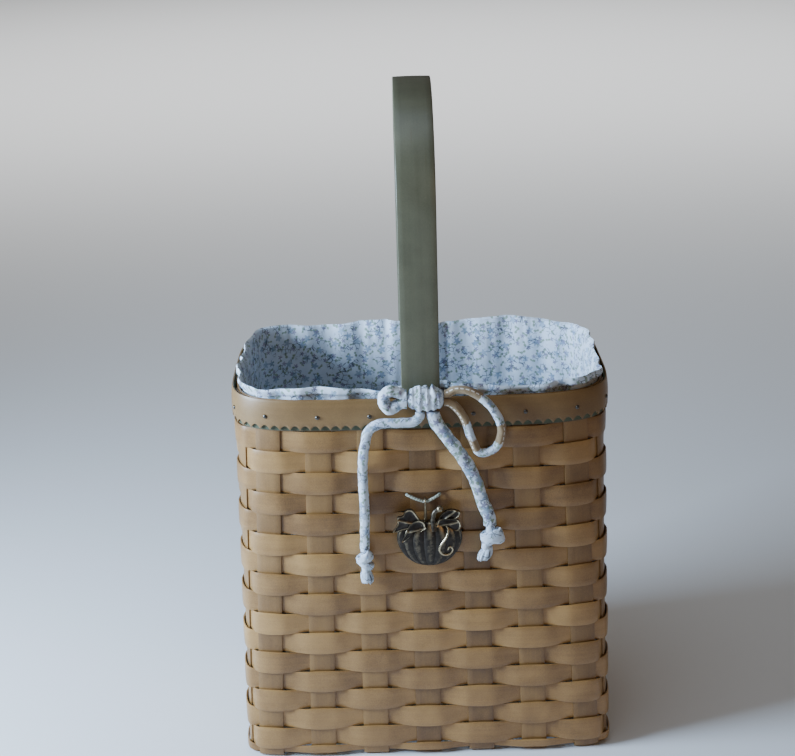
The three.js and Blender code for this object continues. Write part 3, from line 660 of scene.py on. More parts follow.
def from_knot(x, points):
    return [(x + dx, KNOT_FRONT + dy, KNOT_HEIGHT + dz) for dx, dy, dz in points]


def below_knot(face, on_face, points):
    """The last points lie on the weave, and those before hang free in front of it, below the knot."""
    free = len(points) - on_face
    fronts = [KNOT_FRONT] * (free - 1) + [KNOT_FRONT + 1] + [face] * on_face
    return [(x, y, KNOT_UNDER - drop) for (x, drop), y in zip(points, fronts)]


ROUTES = {
    "bow_left": from_knot(KNOT_LEFT, [
        (0, 0, STRAND), (-3, 0, STRAND), (-8, 0, STRAND + 2.5), (-15, -1, STRAND + 3.5), (-20, -1, 1),
        (-15, -1, -STRAND - 4), (-8, 0, -STRAND - 1.5), (-3, 0, -STRAND), (0, 0, -STRAND)]),
    "bow_right": from_knot(KNOT_RIGHT, [
        (0, 0, STRAND), (3, 0, STRAND), (9, 0, STRAND + 3), (22, -1, 5), (38, -1, -8), (47, 0, -28),
        (42, 1, -46), (29, 1, -50), (22, 0, -36), (16, 0, -18), (9, 0, -STRAND - 4),
        (3, 0, -STRAND), (0, 0, -STRAND)]),
    "tail_left": below_knot(LEFT_FACE, 4, [
        (-1.5, 0), (-1.5, 3), (-5.5, 8), (-18.5, 9), (-35, 9.5), (-44, 15), (-47.5, 26), (-49.5, 40),
        (-50.5, 57), (-50, 77), (-50, 100), (-51, 125)]),
    "tail_right": below_knot(RIGHT_FACE, 6, [
        (9.5, 0), (9.5, 3), (12, 10), (20.5, 23), (32, 40), (40, 55), (45, 67), (50, 84), (55, 97),
        (56, 102.5), (56, 106)]),
    "charm_cord": [
        (-14.3, -96.5, 255.35), (-12.7, -98.35, 254.95), (-5.55, -99.95, 251.95), (1.5, -99.95, 249.75),
        (7.4, -99.95, 251.95), (12.7, -98.35, 254.55), (14.3, -96.5, 255.35)],
}
print("routes", ", ".join(ROUTES))


# %% A curve through points
def curve_through(points, steps):
    """A centripetal Catmull-Rom curve through the points, as evenly spaced points in metres."""
    spots = np.array(points, float)
    spots = np.vstack([2 * spots[0] - spots[1], spots, 2 * spots[-1] - spots[-2]])
    line = []
    for a, b, c, d in zip(spots, spots[1:], spots[2:], spots[3:]):
        t1 = np.linalg.norm(b - a) ** 0.5
        t2 = t1 + np.linalg.norm(c - b) ** 0.5
        t3 = t2 + np.linalg.norm(d - c) ** 0.5
        t = np.linspace(t1, t2, 24, endpoint=False)[:, None]
        ab = (t1 - t) / t1 * a + t / t1 * b
        bc = (t2 - t) / (t2 - t1) * b + (t - t1) / (t2 - t1) * c
        cd = (t3 - t) / (t3 - t2) * c + (t - t2) / (t3 - t2) * d
        abc = (t2 - t) / t2 * ab + t / t2 * bc
        bcd = (t3 - t) / (t3 - t1) * bc + (t - t1) / (t3 - t1) * cd
        line.append((t2 - t) / (t2 - t1) * abc + (t - t1) / (t2 - t1) * bcd)
    line = np.vstack(line + [spots[-2][None]])
    run = np.concatenate([[0], np.cumsum(np.linalg.norm(np.diff(line, axis=0), axis=1))])
    even = np.linspace(0, run[-1], steps + 1)
    return np.stack([np.interp(even, run, line[:, i]) for i in range(3)], axis=1) * MM, run[-1] * MM


print("large loop", round(curve_through(ROUTES["bow_right"], 150)[1] / MM), "mm")

# %% [markdown]
# The tie: rolled cloth
#
# A roll of cloth isn't a smooth tube: its free edge ends in a ridge that winds slowly round it, and it
# is pinched and creased where it bends. Each strand starts as a cylinder with its sides subdivided.
# Its rings are then moved onto the route, and its section gets the ridge and the creases. The sections
# are carried along the route without twisting: each is turned only as far as the route itself turns.
# The tails lie against the weave, so they are flattened. On the long loop the cloth's plain reverse is
# turned up in places.

# %% Helpers for a strand
def carried(line):
    """The two ways across a route at each of its points, carried along it without a twist."""
    ways = np.gradient(line, axis=0)
    ways /= np.linalg.norm(ways, axis=1, keepdims=True)
    side = np.cross(ways[0], (0, -1, 0))
    if np.linalg.norm(side) < 0.1:
        side = np.cross(ways[0], (1, 0, 0))
    sideways = []
    for way in ways:
        side = side - way * np.dot(side, way)
        side /= np.linalg.norm(side)
        sideways.append(side)
    return np.array(sideways), np.cross(ways, sideways)


def roll_uv(strand, turn, along, around_length):
    """Lay the map along the strand and once round it, in metres."""
    cloth = fresh_uv(strand)
    for face in strand.data.polygons:
        shares = [turn[i] / (2 * math.pi) % 1.0 for i in face.vertices]
        wraps = max(shares) - min(shares) > 0.5
        for loop, vertex, share in zip(face.loop_indices, face.vertices, shares):
            around = share + (1.0 if wraps and share < 0.5 else 0.0)
            cloth[loop].uv = (along[vertex], around * around_length)


print("helpers for a strand ready")

# %% A rolled strand
EDGE_WINDS = 75 * MM / 0.35


def rolled_strand(name, diameter, steps, sides=24, ridge=0.1, crease=0.12, seed=0.0, route=None,
                  taper=None, depth=1.0, reverse=None):
    """A strand along a route, with the route's points and its length.

    taper is the share of the diameter at equal steps along the strand, and depth flattens it. reverse
    holds pairs: millimetres along the strand, and how far the cloth's plain back is turned up there.
    """
    line, length = curve_through(route or ROUTES[name], steps)
    deselect()
    bpy.ops.mesh.primitive_cylinder_add(vertices=sides, radius=1, depth=1, end_fill_type="TRIFAN")
    strand = named(name + "_rolled")
    subdivide_along(strand, 2, steps - 1)
    spots = coordinates(strand)
    ring = np.rint((spots[:, 2] + 0.5) * steps).astype(int)
    turn = np.arctan2(spots[:, 1], spots[:, 0])
    reach = np.hypot(spots[:, 0], spots[:, 1])
    along = ring / steps * length
    from_edge = np.mod(turn - along / EDGE_WINDS * 2 * math.pi - 1.1, 2 * math.pi) / (2 * math.pi)
    swell = 1 - ridge * from_edge
    right, up = np.cos(turn), np.sin(turn)
    rumple = roughness_at(along * 190 + seed, right * 1.6, up * 1.6 + seed)
    fine = roughness_at(along * 620 + seed, right * 2.2 + 4, up * 2.2 + seed)
    ends_in = np.clip(np.minimum(along, length - along) / 0.006, 0, 1)
    width = 1.0 if taper is None else np.interp(ring / steps, np.linspace(0, 1, len(taper)), taper)
    radius = diameter / 2 * MM * reach * width * (swell + ends_in * crease * (rumple + 0.4 * fine))
    roll_uv(strand, turn, along + seed * 0.1, math.pi * diameter * MM)
    sideways, upward = carried(line)
    place(strand, line[ring] + sideways[ring] * (right * radius)[:, None]
          + upward[ring] * (up * radius * depth)[:, None])
    if reverse:
        mark(strand, "reverse", np.interp(along / MM, *zip(*reverse)))
    face_outwards(strand)
    bpy.ops.object.shade_smooth()
    return strand, line, length


print("the free edge winds round once in", round(EDGE_WINDS / MM), "mm")

# %% The tie's four strands
LOOP_REVERSE = [(0, 1), (29, 1), (36, 0), (58, 0), (66, 0.9), (76, 0.9), (84, 0), (98, 0), (106, 0.8),
                (122, 0.3), (138, 0.8), (160, 0.8)]
LOOP_DIAMETER = 7.4
STRANDS = {
    "bow_left": dict(diameter=10.0, steps=90, seed=1.0, crease=0.24),
    "bow_right": dict(diameter=LOOP_DIAMETER, steps=150, seed=2.0, reverse=LOOP_REVERSE),
    "tail_left": dict(diameter=8.6, steps=170, seed=3.0, depth=0.82),
    "tail_right": dict(diameter=11.6, steps=130, seed=4.0, depth=0.62),
}
tie_pieces = {}
for name, shape in STRANDS.items():
    strand, line, length = rolled_strand(name, **shape)
    mark(strand, "dense", 0.045 if name == "tail_right" else 0)
    belongs(strand, [name], "tie", tie_cotton)
    tie_pieces[name] = (strand, line, length)
    print(name, "is", round(length * 1000), "mm long")

# %% [markdown]
# The tie: knot and ends
#
# The bow's knot is one turn of the same strip, pulled tight round the strands: a fat cushion with
# creases that run over it from top to bottom, deeper towards its two ends. A sphere gives the cushion
# and its latitude rings lie across the knot, so they become the creases. Each tail ends in an overhand
# knot: it goes on through the knot as a core, and flattened turns of the strip wrap round that core.
# Below it the cut end frays. A tip is a bundle that swells and then opens in strands of unequal length.

# %% The bow's knot
def cloth_uv(piece, size):
    """Wrap the primitive's own map to metres of cloth, so that the print keeps its real scale."""
    layer = piece.data.uv_layers[0]
    layer.name = "cloth"
    flat = np.empty(len(piece.data.loops) * 2)
    layer.data.foreach_get("uv", flat)
    layer.data.foreach_set("uv", (flat.reshape(-1, 2) * size).ravel())


deselect()
bpy.ops.mesh.primitive_uv_sphere_add(segments=72, ring_count=60, radius=1)
knot = named("bow_knot_wrapped")
cloth_uv(knot, (0.05, 0.045))
ball = coordinates(knot)
across, turn = ball[:, 2], np.arctan2(ball[:, 1], ball[:, 0])
crease = roughness_at(across * 5.2, np.cos(turn) * 0.5, np.sin(turn) * 0.5)
crumple = roughness_at(across * 2.4, np.cos(turn) * 2.2 + 7, np.sin(turn) * 2.2)
barrel = np.clip(1 - across ** 2, 0, 1) ** 0.28 * (1 + 0.20 * crease + 0.16 * crumple)
barrel = barrel * (1 - 0.10 * np.abs(np.sin(across * 7.5)) ** 6)
place(knot, np.stack([3.5 + 15 * across,
                      KNOT_FRONT + 6.6 * barrel * np.cos(turn),
                      KNOT_HEIGHT + 11.2 * barrel * np.sin(turn)], axis=1) * MM)
face_outwards(knot)
bpy.ops.object.shade_smooth()
belongs(knot, ["bow_knot"], "tie", tie_cotton)
print("knot", (np.ptp(coordinates(knot), axis=0) / MM).round(1), "mm")


# %% Knots and tips of the tails
def tail_knot(name, end, core, wraps, seed):
    """The tail goes on through its knot as the core, and each wrap is a strand once round the core."""
    middle = np.array(end) + (0, -2.8, 0)
    pieces = [rolled_strand(name, 7.6, 40, sides=20, crease=0.2, seed=seed,
                            route=[tuple(np.array(end) + p) for p in core])[0]]
    turns = np.linspace(np.pi, 3 * np.pi, 17)
    for number, (drop, off, tilt, wide, deep, height, flatness) in enumerate(wraps):
        route = [tuple(middle + (off + wide * np.sin(t), -deep * np.cos(t), tilt * np.sin(t) - drop))
                 for t in turns]
        pieces.append(rolled_strand(f"{name}_turn_{number}", height, 60, sides=20, ridge=0.2, crease=0.22,
                                    seed=seed + number, route=route, depth=flatness)[0])
    return pieces


def frayed_tip(name, top, side, seed):
    """The cut end of a tail, which hangs below its knot and leans to one side."""
    deselect()
    bpy.ops.mesh.primitive_cylinder_add(vertices=60, radius=1, depth=1, end_fill_type="TRIFAN")
    tip = named(name)
    cloth_uv(tip, (0.02, 0.012))
    subdivide_along(tip, 2, 15)
    rod = coordinates(tip)
    down, turn = 0.5 - rod[:, 2], np.arctan2(rod[:, 1], rod[:, 0])
    reach = np.hypot(rod[:, 0], rod[:, 1])
    strands = roughness_at(np.cos(turn) * 7, np.sin(turn) * 7, seed)
    ragged = roughness_at(np.cos(turn) * 11, np.sin(turn) * 11, seed + 5)
    radius = (3.2 + 2.2 * np.sin(np.pi * np.minimum(down * 0.85, 1)) ** 0.8) * (1 + 0.55 * strands * down)
    place(tip, np.stack([top[0] + side * (0.4 + down) + radius * reach * np.cos(turn),
                         top[1] - 2.8 + radius * 0.75 * reach * np.sin(turn),
                         top[2] - 18.5 - 12 * down * (1 + 0.22 * ragged * reach)], axis=1) * MM)
    face_outwards(tip)
    bpy.ops.object.shade_smooth()
    return tip


print("helpers for the tails' ends ready")

# %% The tails' ends and the cords
CORES = {
    "left": [(0, 0, 3), (0, -0.8, -3), (0, -2.8, -8), (0, -2.8, -14), (0.5, -2.8, -20)],
    "right": [(0, 0, 3), (0, -1.2, -3), (-1, -2.8, -9), (-3.4, -2.8, -15), (-4.2, -2.8, -20)],
}
# Each turn of a knot has a drop, a shift, a tilt, half its width and depth, its height and its flatness
WRAPS = {
    "left": [(7.0, -0.6, 3.0, 5.0, 3.9, 8.6, 0.5), (12.8, 0.6, -3.4, 4.6, 3.6, 8.0, 0.5)],
    "right": [(9.0, 1.6, 2.2, 8.2, 3.8, 13.5, 0.3)],
}
on_strand = {"bow_left": [knot], "bow_right": []}
for side, off, seed in (("left", 0.8, 5.0), ("right", -4.6, 6.0)):
    end = ROUTES[f"tail_{side}"][-1]
    parts = tail_knot(f"tail_end_{side}", end, CORES[side], WRAPS[side], seed)
    parts.append(frayed_tip(f"tail_tip_{side}", end, off, seed))
    tail_end = join(parts)
    mark(tail_end, "dense", -0.04)
    on_strand[f"tail_{side}"] = [belongs(tail_end, [f"tail_end_{side}"], "tie", tie_cotton)]
for name, (strand, line, length) in tie_pieces.items():
    is_bow = name.startswith("bow")
    diameter = LOOP_DIAMETER if is_bow else STRANDS[name]["diameter"]
    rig.cord(strand, exit=tuple(line[0]), length=length, diameter=diameter * MM,
            far_end="object" if is_bow else "knot", stiffness="limp", lay="hanging",
            path=[tuple(p) for p in line], with_pieces=on_strand[name])
print("cords of the tie", len(on_strand))

# %% [markdown]
# Splint
#
# Splint is thin ash or maple, sliced along the grain, stained a light brown and wiped with oil. Its
# look is quiet: faint streaks about 1.6 and 6 mm wide, broad cloudy patches where the stain took
# unevenly, fine specks, a few short darker flecks, and a satin surface. The streaks run along each
# splint, so there is one material for each way that splints run. It reads Object coordinates, squeezed
# along the grain, and a number that each piece carries, `tone`, so that no two splints match.

# %% Splint material
def splint(name, along, pale="#ab824b", deep="#6c4a24", roughness=0.45, grain=0.35):
    """along is how far the pattern is stretched on each axis: small along the grain. grain is its weight."""
    made, tree, shader = new_look(name)
    spot = node(tree, "TexCoord").outputs["Object"]
    tone = node(tree, "Attribute", attribute_name="tone").outputs["Fac"]
    far = node(tree, "Math", {0: tone, 1: 7.0}, operation="MULTIPLY")
    shift = node(tree, "CombineXYZ", {0: far, 1: far, 2: far})
    moved = node(tree, "VectorMath", {0: spot, 1: shift}, operation="ADD")
    grain_spot = node(tree, "VectorMath", {0: moved, 1: along}, operation="MULTIPLY")
    streaks = node(tree, "TexNoise", {"Vector": grain_spot, "Scale": 620.0, "Detail": 1.0, "Roughness": 0.5})
    wide = node(tree, "TexNoise", {"Vector": grain_spot, "Scale": 160.0, "Detail": 1.0})
    clouds = node(tree, "TexNoise", {"Vector": moved, "Scale": 26.0, "Detail": 4.0, "Roughness": 0.55})
    specks = node(tree, "TexNoise", {"Vector": moved, "Scale": 1300.0, "Detail": 2.0, "Roughness": 0.6})
    flecks = node(tree, "TexVoronoi", {"Vector": grain_spot, "Scale": 420.0})
    fleck = node(tree, "MapRange", {"Value": flecks, "From Max": 0.16, "To Min": 1.0, "To Max": 0.0})
    mixed = node(tree, "Math", {0: tone, 1: 0.25}, operation="MULTIPLY")
    for layer, weight in ((streaks, grain * 0.3), (wide, grain * 0.35), (clouds, 0.6), (specks, 0.4)):
        mixed = node(tree, "Math", {0: layer, 1: weight, 2: mixed}, operation="MULTIPLY_ADD")
    # The average of the sum: each layer, and the tone, is half its weight on average
    middle = 0.125 + grain * 0.325 + 0.5
    share = node(tree, "MapRange", {"Value": mixed, "From Min": middle - 0.22, "From Max": middle + 0.22})
    wood = node(tree, "MixRGB", {"Fac": share, "Color1": deep, "Color2": pale})
    flecked = node(tree, "Math", {0: fleck, 1: 0.28}, operation="MULTIPLY")
    wood = node(tree, "MixRGB", {"Fac": flecked, "Color1": wood, "Color2": "#5e4526"})
    gloss = node(tree, "MapRange", {"Value": streaks, "To Min": roughness - 0.08, "To Max": roughness + 0.1})
    bump = node(tree, "Bump", {"Height": mixed, "Strength": 0.2, "Distance": 0.0004})
    connect(shader, {"Base Color": wood, "Roughness": gloss, "IOR": 1.45, "Coat Weight": 0.3,
                     "Coat Roughness": 0.38, "Normal": bump})
    return made


splint_round = splint("oiled_ash_splint_round", (0.03, 0.03, 1.0))
splint_long = splint("oiled_ash_splint_long", (1.0, 0.03, 0.03), pale="#95703f", deep="#634422")
splint_cross = splint("oiled_ash_splint_cross", (0.03, 1.0, 0.03), pale="#95703f", deep="#634422")
chance = np.random.default_rng(19)
print("splint for three ways of the grain")

# %% [markdown]
# Rings
#
# Weavers, bands and the trim all run round the wall. Each starts as an open cylinder: its columns
# become places along the rim and its rows become heights. Only the upright edges are subdivided, to
# add rows. A piece's own rule then gives each point its length, height and offset, `wall` places it,
# Solidify gives the sheet its thickness, and a Bevel softens the edges, as sanding does.

# %% Rings
def ring_blank(name, columns, rows):
    deselect()
    bpy.ops.mesh.primitive_cylinder_add(vertices=columns, radius=1, depth=1, end_fill_type="NOTHING")
    ring = named(name)
    subdivide_along(ring, 2, rows - 1)
    spots = coordinates(ring)
    turn = np.mod(np.arctan2(spots[:, 0], -spots[:, 1]), 2 * np.pi)
    column = np.rint(turn / (2 * np.pi) * columns) % columns
    return ring, column, np.clip(spots[:, 2] + 0.5, 0, 1)


def thicken(ring, thickness, offset=0.0, edge=0.25, group=None):
    solid = ring.modifiers.new("thickness", "SOLIDIFY")
    solid.thickness = thickness * MM
    solid.offset = offset
    solid.use_even_offset = True
    if group:
        solid.vertex_group = group
    if edge:
        soften(ring, edge)
    apply_modifiers(ring)
    return settle(ring)


def wander(length, seed, size):
    """A smooth closed wandering between -1 and 1 along the rim; size is its wavelength in mm."""
    angle = 2 * np.pi * length / AROUND
    reach = AROUND / size / 6.3
    return roughness_at(np.cos(angle) * reach, np.sin(angle) * reach, seed * 3.7) * 1.6


print("a ring starts as a cylinder", round(AROUND / (UPRIGHTS * 12), 1), "mm from column to column")

# %% [markdown]
# Weavers
#
# Sixteen splints 19 mm wide run round the basket, each outside one upright and inside the next, and
# each row does the opposite of the row above. A narrow starting row lies under them. Between two
# uprights a splint runs on a nearly straight slope. It also spreads a little over its neighbours where
# it stands outside, which gives the wall its wavy look. Rows are pressed together unevenly, so dark
# slits open here and there near the top. Behind the charm the crests of four rows are pressed flatter.

# %% Weave path
PER_UPRIGHT = 12
ROWS = 16
ROW_PITCH = 19
ROW_GAP = 0.2
START_ROW = (4.6, 10.9)
CHARM_ROWS = range(4, 8)
CHARM_SIDE = 3
place_marks = np.append(RIM_PLACES, AROUND)


def weave_side(position, row):
    """1 where the row passes outside, -1 where it passes inside, and a nearly straight slope between."""
    upright = np.floor(position).astype(int)
    share = position - upright
    pitch = np.diff(place_marks)[upright % UPRIGHTS]
    flat = UPRIGHT_WIDTH / 2 / pitch
    bend = np.clip((share - flat) / (1 - 2 * flat), 0, 1)
    bend = 0.7 * bend + 0.3 * bend * bend * (3 - 2 * bend)
    start = np.where((upright + row) % 2 == 1, 1.0, -1.0)
    return start * (0.82 * (1 - 2 * bend) + 0.18 * np.cos(np.pi * share))


print("row 1 over the first three uprights", weave_side(np.arange(3.0), 1).round(1))


# %% Weavers
def weaver(row, bottom, top, name):
    ring, column, level = ring_blank(f"{name}_splint", UPRIGHTS * PER_UPRIGHT, 4)
    position = column / PER_UPRIGHT
    length = np.interp(position, np.arange(UPRIGHTS + 1), place_marks)
    side = weave_side(position, row)
    # It spreads over its neighbours where it stands outside, more so lower down
    swing = np.cos(np.pi * position) * (-1) ** (row + 1)
    rise = swing * (0.4 + 1.0 * min(row, 14) / 14)
    slack = np.clip(wander(length, row + 0.3, 60) - 0.15, 0, 1) * (1.3 if row < 8 else 0.6)
    lower = bottom - (0 if row > ROWS else rise)
    upper = top + (-0.4 if row == 1 else rise - slack)
    height = lower + (upper - lower) * level
    # Its crests stand out by different amounts, are cupped from top to bottom and tilt a little
    bow = 0.6 + 0.3 * np.clip(wander(length, row + 40.1, 90), -1, 1)
    cup = 0.28 * (1 - (2 * level - 1) ** 2)
    tilt = 0.35 * (2 * level - 1) * np.clip(wander(length, row + 80.7, 110), -1, 1)
    from_charm = np.abs((length + AROUND / 2) % AROUND - AROUND / 2 - CHARM_SIDE)
    pressed = np.clip(2 - from_charm / 30, 0, 1) * (0.6 if row in CHARM_ROWS else 0)
    offset = side * CROSSING + np.clip(side, 0, 1) * (bow + cup + tilt) * (1 - pressed)
    place(ring, wall(length, height, offset))
    thicken(ring, WEAVER_THICK)
    return belongs(ring, [name], "splint", splint_round, tone=chance.uniform(0, 1))


for row in range(1, ROWS + 1):
    low = ROWS_TOP - ROW_PITCH * row + ROW_GAP
    weaver(row, low, low + ROW_PITCH - ROW_GAP, f"weaver_{row:02d}")
weaver(ROWS + 1, *START_ROW, "weaver_start")
print("weavers", ROWS + 1)

# %% [markdown]
# Uprights
#
# Eleven wider splints make the uprights. Seven run from front to back and four from side to side:
# down one wall, round a tight bend, through the woven base and up the other wall. Each starts as a
# grid whose rows are laid along that path. At the corners of the basket the two edges of a splint
# follow the curved wall at different places, so it twists on its way down, as the real ones do.

# %% A line of an upright
UPRIGHT_TOP = 340.9
BASE_MIDDLE = 1.45
BASE_LIFT = 0.8
BEND = 3.0
FAMILIES = {
    "long": dict(faces=(0, 2), sign=1, steps=FRONT_STEPS, pitch=0, half=DEPTH_HALF,
                 others=[s * BASE_PITCH[1] for s in SIDE_STEPS], look=splint_long),
    "cross": dict(faces=(3, 1), sign=-1, steps=SIDE_STEPS, pitch=1, half=BASE_HALF,
                  others=[s * BASE_PITCH[0] for s in FRONT_STEPS], look=splint_cross),
}
WALL_ROWS = 48
FLOOR_ROWS = 90
STRIPS = 4


def upright_line(kind, index, shift):
    """The points along one line of an upright, shift millimetres beside its middle."""
    family = FAMILIES[kind]
    axis = 1 if kind == "long" else 0
    step = family["steps"][index]
    at_rim = step * RIM_PITCH[family["pitch"]] + shift
    at_base = step * BASE_PITCH[family["pitch"]] + shift
    heights = np.linspace(UPRIGHT_TOP, WALL_START, WALL_ROWS)
    walls = []
    for side, face in zip((1, -1), family["faces"]):
        length = face * AROUND / 4 + side * family["sign"] * at_rim
        up = wall(length, heights, 0) / MM
        bend = []
        for angle in np.radians([18, 36, 54, 72, 90]):
            spot = up[-1].copy()
            spot[axis] -= np.sign(spot[axis]) * BEND * (1 - math.cos(angle))
            spot[2] -= BEND * math.sin(angle)
            bend.append(spot)
        walls.append(np.vstack([up, bend]))
    start, end = walls[0][-1], walls[1][-1]
    along = np.linspace(start[axis], end[axis], FLOOR_ROWS)[1:-1]
    marks, lifts = [start[axis]], [0.0]
    for j, centre in enumerate(family["others"]):
        above = (index + j + axis) % 2 == 1
        for edge in (-UPRIGHT_WIDTH / 2, UPRIGHT_WIDTH / 2):
            marks.append(centre + edge)
            lifts.append(BASE_LIFT if above else -BASE_LIFT)
    marks.append(end[axis])
    lifts.append(0.0)
    across = np.full(len(along), at_base)
    lift = np.interp(along, marks, lifts)
    floor_line = np.stack([across, along, BASE_MIDDLE + lift] if kind == "long"
                          else [along, across, BASE_MIDDLE + lift], axis=1)
    return np.vstack([walls[0], floor_line, walls[1][::-1]]) * MM


print("an upright has", len(upright_line("long", 0, 0)), "rows")


# %% Uprights
def upright(kind, index):
    shifts = np.linspace(-UPRIGHT_WIDTH / 2, UPRIGHT_WIDTH / 2, STRIPS + 1)
    lines = np.array([upright_line(kind, index, s) for s in shifts])
    rows = lines.shape[1]
    name = f"upright_{kind}_{index + 1}"
    deselect()
    bpy.ops.mesh.primitive_grid_add(x_subdivisions=STRIPS, y_subdivisions=rows - 1, size=1)
    strip = named(name + "_splint")
    spots = coordinates(strip)
    column = np.rint((spots[:, 0] + 0.5) * STRIPS).astype(int)
    row = np.rint((spots[:, 1] + 0.5) * (rows - 1)).astype(int)
    place(strip, lines[column, row])
    face_outwards(strip)
    thicken(strip, UPRIGHT_THICK, edge=0.3)
    return belongs(strip, [name], "splint", FAMILIES[kind]["look"], tone=chance.uniform(0, 1))


for kind, family in FAMILIES.items():
    for index in range(len(family["steps"])):
        upright(kind, index)
print("uprights", UPRIGHTS // 2)

# %% [markdown]
# Rim bands
#
# Two bands clamp the uprights at the rim. The outer one is a broad strip of stained wood, crowned a
# little under half way up and thinned to a fine top edge. Its lower edge is cut with pinking shears
# into 110 points with round notches between them. A dark green strip lies behind it and shows through the
# notches. The inner band is plain splint, and swings inwards round the two legs of the handle.

# %% Band and trim materials
stained = splint("stained_satin_band", (0.03, 0.03, 1.0), pale="#8f6f42", deep="#6c4f2b", roughness=0.5)


def dyed_strip():
    made, tree, shader = new_look("green_dyed_splint")
    spot = node(tree, "TexCoord").outputs["Object"]
    stretched = node(tree, "VectorMath", {0: spot, 1: (0.2, 0.2, 1.0)}, operation="MULTIPLY")
    streaks = node(tree, "TexNoise", {"Vector": stretched, "Scale": 900.0, "Detail": 2.0})
    green = node(tree, "MixRGB", {"Fac": streaks, "Color1": "#35402f", "Color2": "#5c5f45"})
    parts = node(tree, "SeparateXYZ", {"Vector": spot})
    worn = node(tree, "Math", {0: streaks, 1: -0.0009, 2: parts.outputs["Z"]}, operation="MULTIPLY_ADD")
    worn = node(tree, "MapRange", {"Value": worn, "From Min": 0.3150, "From Max": 0.3158,
                                   "To Min": 0.8, "To Max": 0.0})
    colour = node(tree, "MixRGB", {"Fac": worn, "Color1": green, "Color2": "#5f4a33"})
    bump = node(tree, "Bump", {"Height": streaks, "Strength": 0.3, "Distance": 0.0003})
    connect(shader, {"Base Color": colour, "Roughness": 0.7, "Normal": bump})
    return made


dyed = dyed_strip()
print("band", stained.name, "and trim", dyed.name)

# %% Outer band, trim and inner band
TEETH = 110
PER_TOOTH = 8
TOOTH = 4.0
BAND_THICK = 2.25
CROWN_AT = 0.45
TRIM_BOTTOM = 315.2
TRIM_TOP = 339.4
TRIM_COLUMNS = UPRIGHTS * 10
INNER_COLUMNS = 440

ring, column, level = ring_blank("rim_band_pinked", TEETH * PER_TOOTH, 9)
length = AROUND * column / (TEETH * PER_TOOTH)
notch = TOOTH * np.sin(np.pi * (column % PER_TOOTH) / PER_TOOTH) ** 0.9
height = BAND_BOTTOM + notch + (BAND_TOP - BAND_BOTTOM - notch) * level
share = (height - BAND_BOTTOM) / (BAND_TOP - BAND_BOTTOM)
crown = np.where(share < CROWN_AT, BAND_THICK - 0.45 * ((CROWN_AT - share) / CROWN_AT) ** 2,
                 BAND_THICK - 1.3 * (np.clip(share - CROWN_AT, 0, 1) / (1 - CROWN_AT)) ** 2.4)
place(ring, wall(length, height, BAND_INNER + crown))
weights = ring.vertex_groups.new(name="thin")
for index, value in enumerate(crown / BAND_THICK):
    weights.add([index], float(value), "REPLACE")
thicken(ring, BAND_THICK, offset=-1.0, edge=0.22, group="thin")
ring.vertex_groups.clear()
belongs(ring, ["rim_band"], "band", stained, tone=0.45)

ring, column, level = ring_blank("trim_strip_dyed", TRIM_COLUMNS, 3)
place(ring, wall(AROUND * column / TRIM_COLUMNS, TRIM_BOTTOM + (TRIM_TOP - TRIM_BOTTOM) * level, 1.45))
thicken(ring, 1.0, edge=0.2)
belongs(ring, ["trim_strip"], "trim", dyed)


LEG_ROOM = 5.3


def beside_leg(length, start):
    """1 beside a leg of the handle and 0 once 10 mm past it, with a soft swing between."""
    half = AROUND / 2
    from_leg = np.abs(np.mod(length + half / 2, half) - half / 2)
    share = np.clip((start + 10 - from_leg) / 10, 0, 1)
    return share * share * (3 - 2 * share)


ring, column, level = ring_blank("inner_band_splint", INNER_COLUMNS, 4)
length = AROUND * column / INNER_COLUMNS
place(ring, wall(length, TRIM_BOTTOM + 26.2 * level, -1.95 - LEG_ROOM * beside_leg(length, 16.9)))
thicken(ring, 2.0, edge=0.4)
belongs(ring, ["inner_band"], "splint", splint_round, tone=0.3)
print("outer band with", TEETH, "points, trim and inner band")

# %% [markdown]
# Handle
#
# One strap of ash, 32 mm wide and 5 mm thick, was steamed and bent to a half circle on two straight
# legs. Each leg is notched under the rim and thins out below it, inside the weave. A cube with its
# long edges subdivided has one ring for each step of that path. The strap's faces are slightly domed
# and its edges rounded, as sanding leaves them. It is stained to a cooler, greyer tone than the weave,
# and its colours are darkened beyond that stain as painted shade.

# %% Path of the strap
OUTER = 94.55
INNER = 89.55
HANDLE_TOP = 592
STRAP_WIDTH = 31.8
LEG_END = 235.2
NOTCH = 314.8
SPRING = HANDLE_TOP - OUTER
DOME = 0.35


def strap_path():
    """The outer and the inner line of the bent strap, from the foot in front to the foot behind."""
    heights = [LEG_END, 245, 255, 265, 274.9, 285, 295, 305, 313.9, 314.6, 315.3, 318, 330]
    heights += list(np.linspace(345, SPRING, 24))
    outer = [(-(OUTER - 1.5 if z < NOTCH else OUTER), z) for z in heights]
    inner = [(-(INNER + 1.5 - 1.5 * min(1, (z - LEG_END) / 39.7)), z) for z in heights]
    for angle in np.linspace(0, math.pi, 73)[1:-1]:
        outer.append((-OUTER * math.cos(angle), SPRING + OUTER * math.sin(angle)))
        inner.append((-INNER * math.cos(angle), SPRING + INNER * math.sin(angle)))
    far = len(heights)
    outer += [(-y, z) for y, z in outer[:far][::-1]]
    inner += [(-y, z) for y, z in inner[:far][::-1]]
    return np.array(outer), np.array(inner)


outer, inner = strap_path()
rings = len(outer)
print("the path has", rings, "rings, up to", outer[:, 1].max(), "mm")

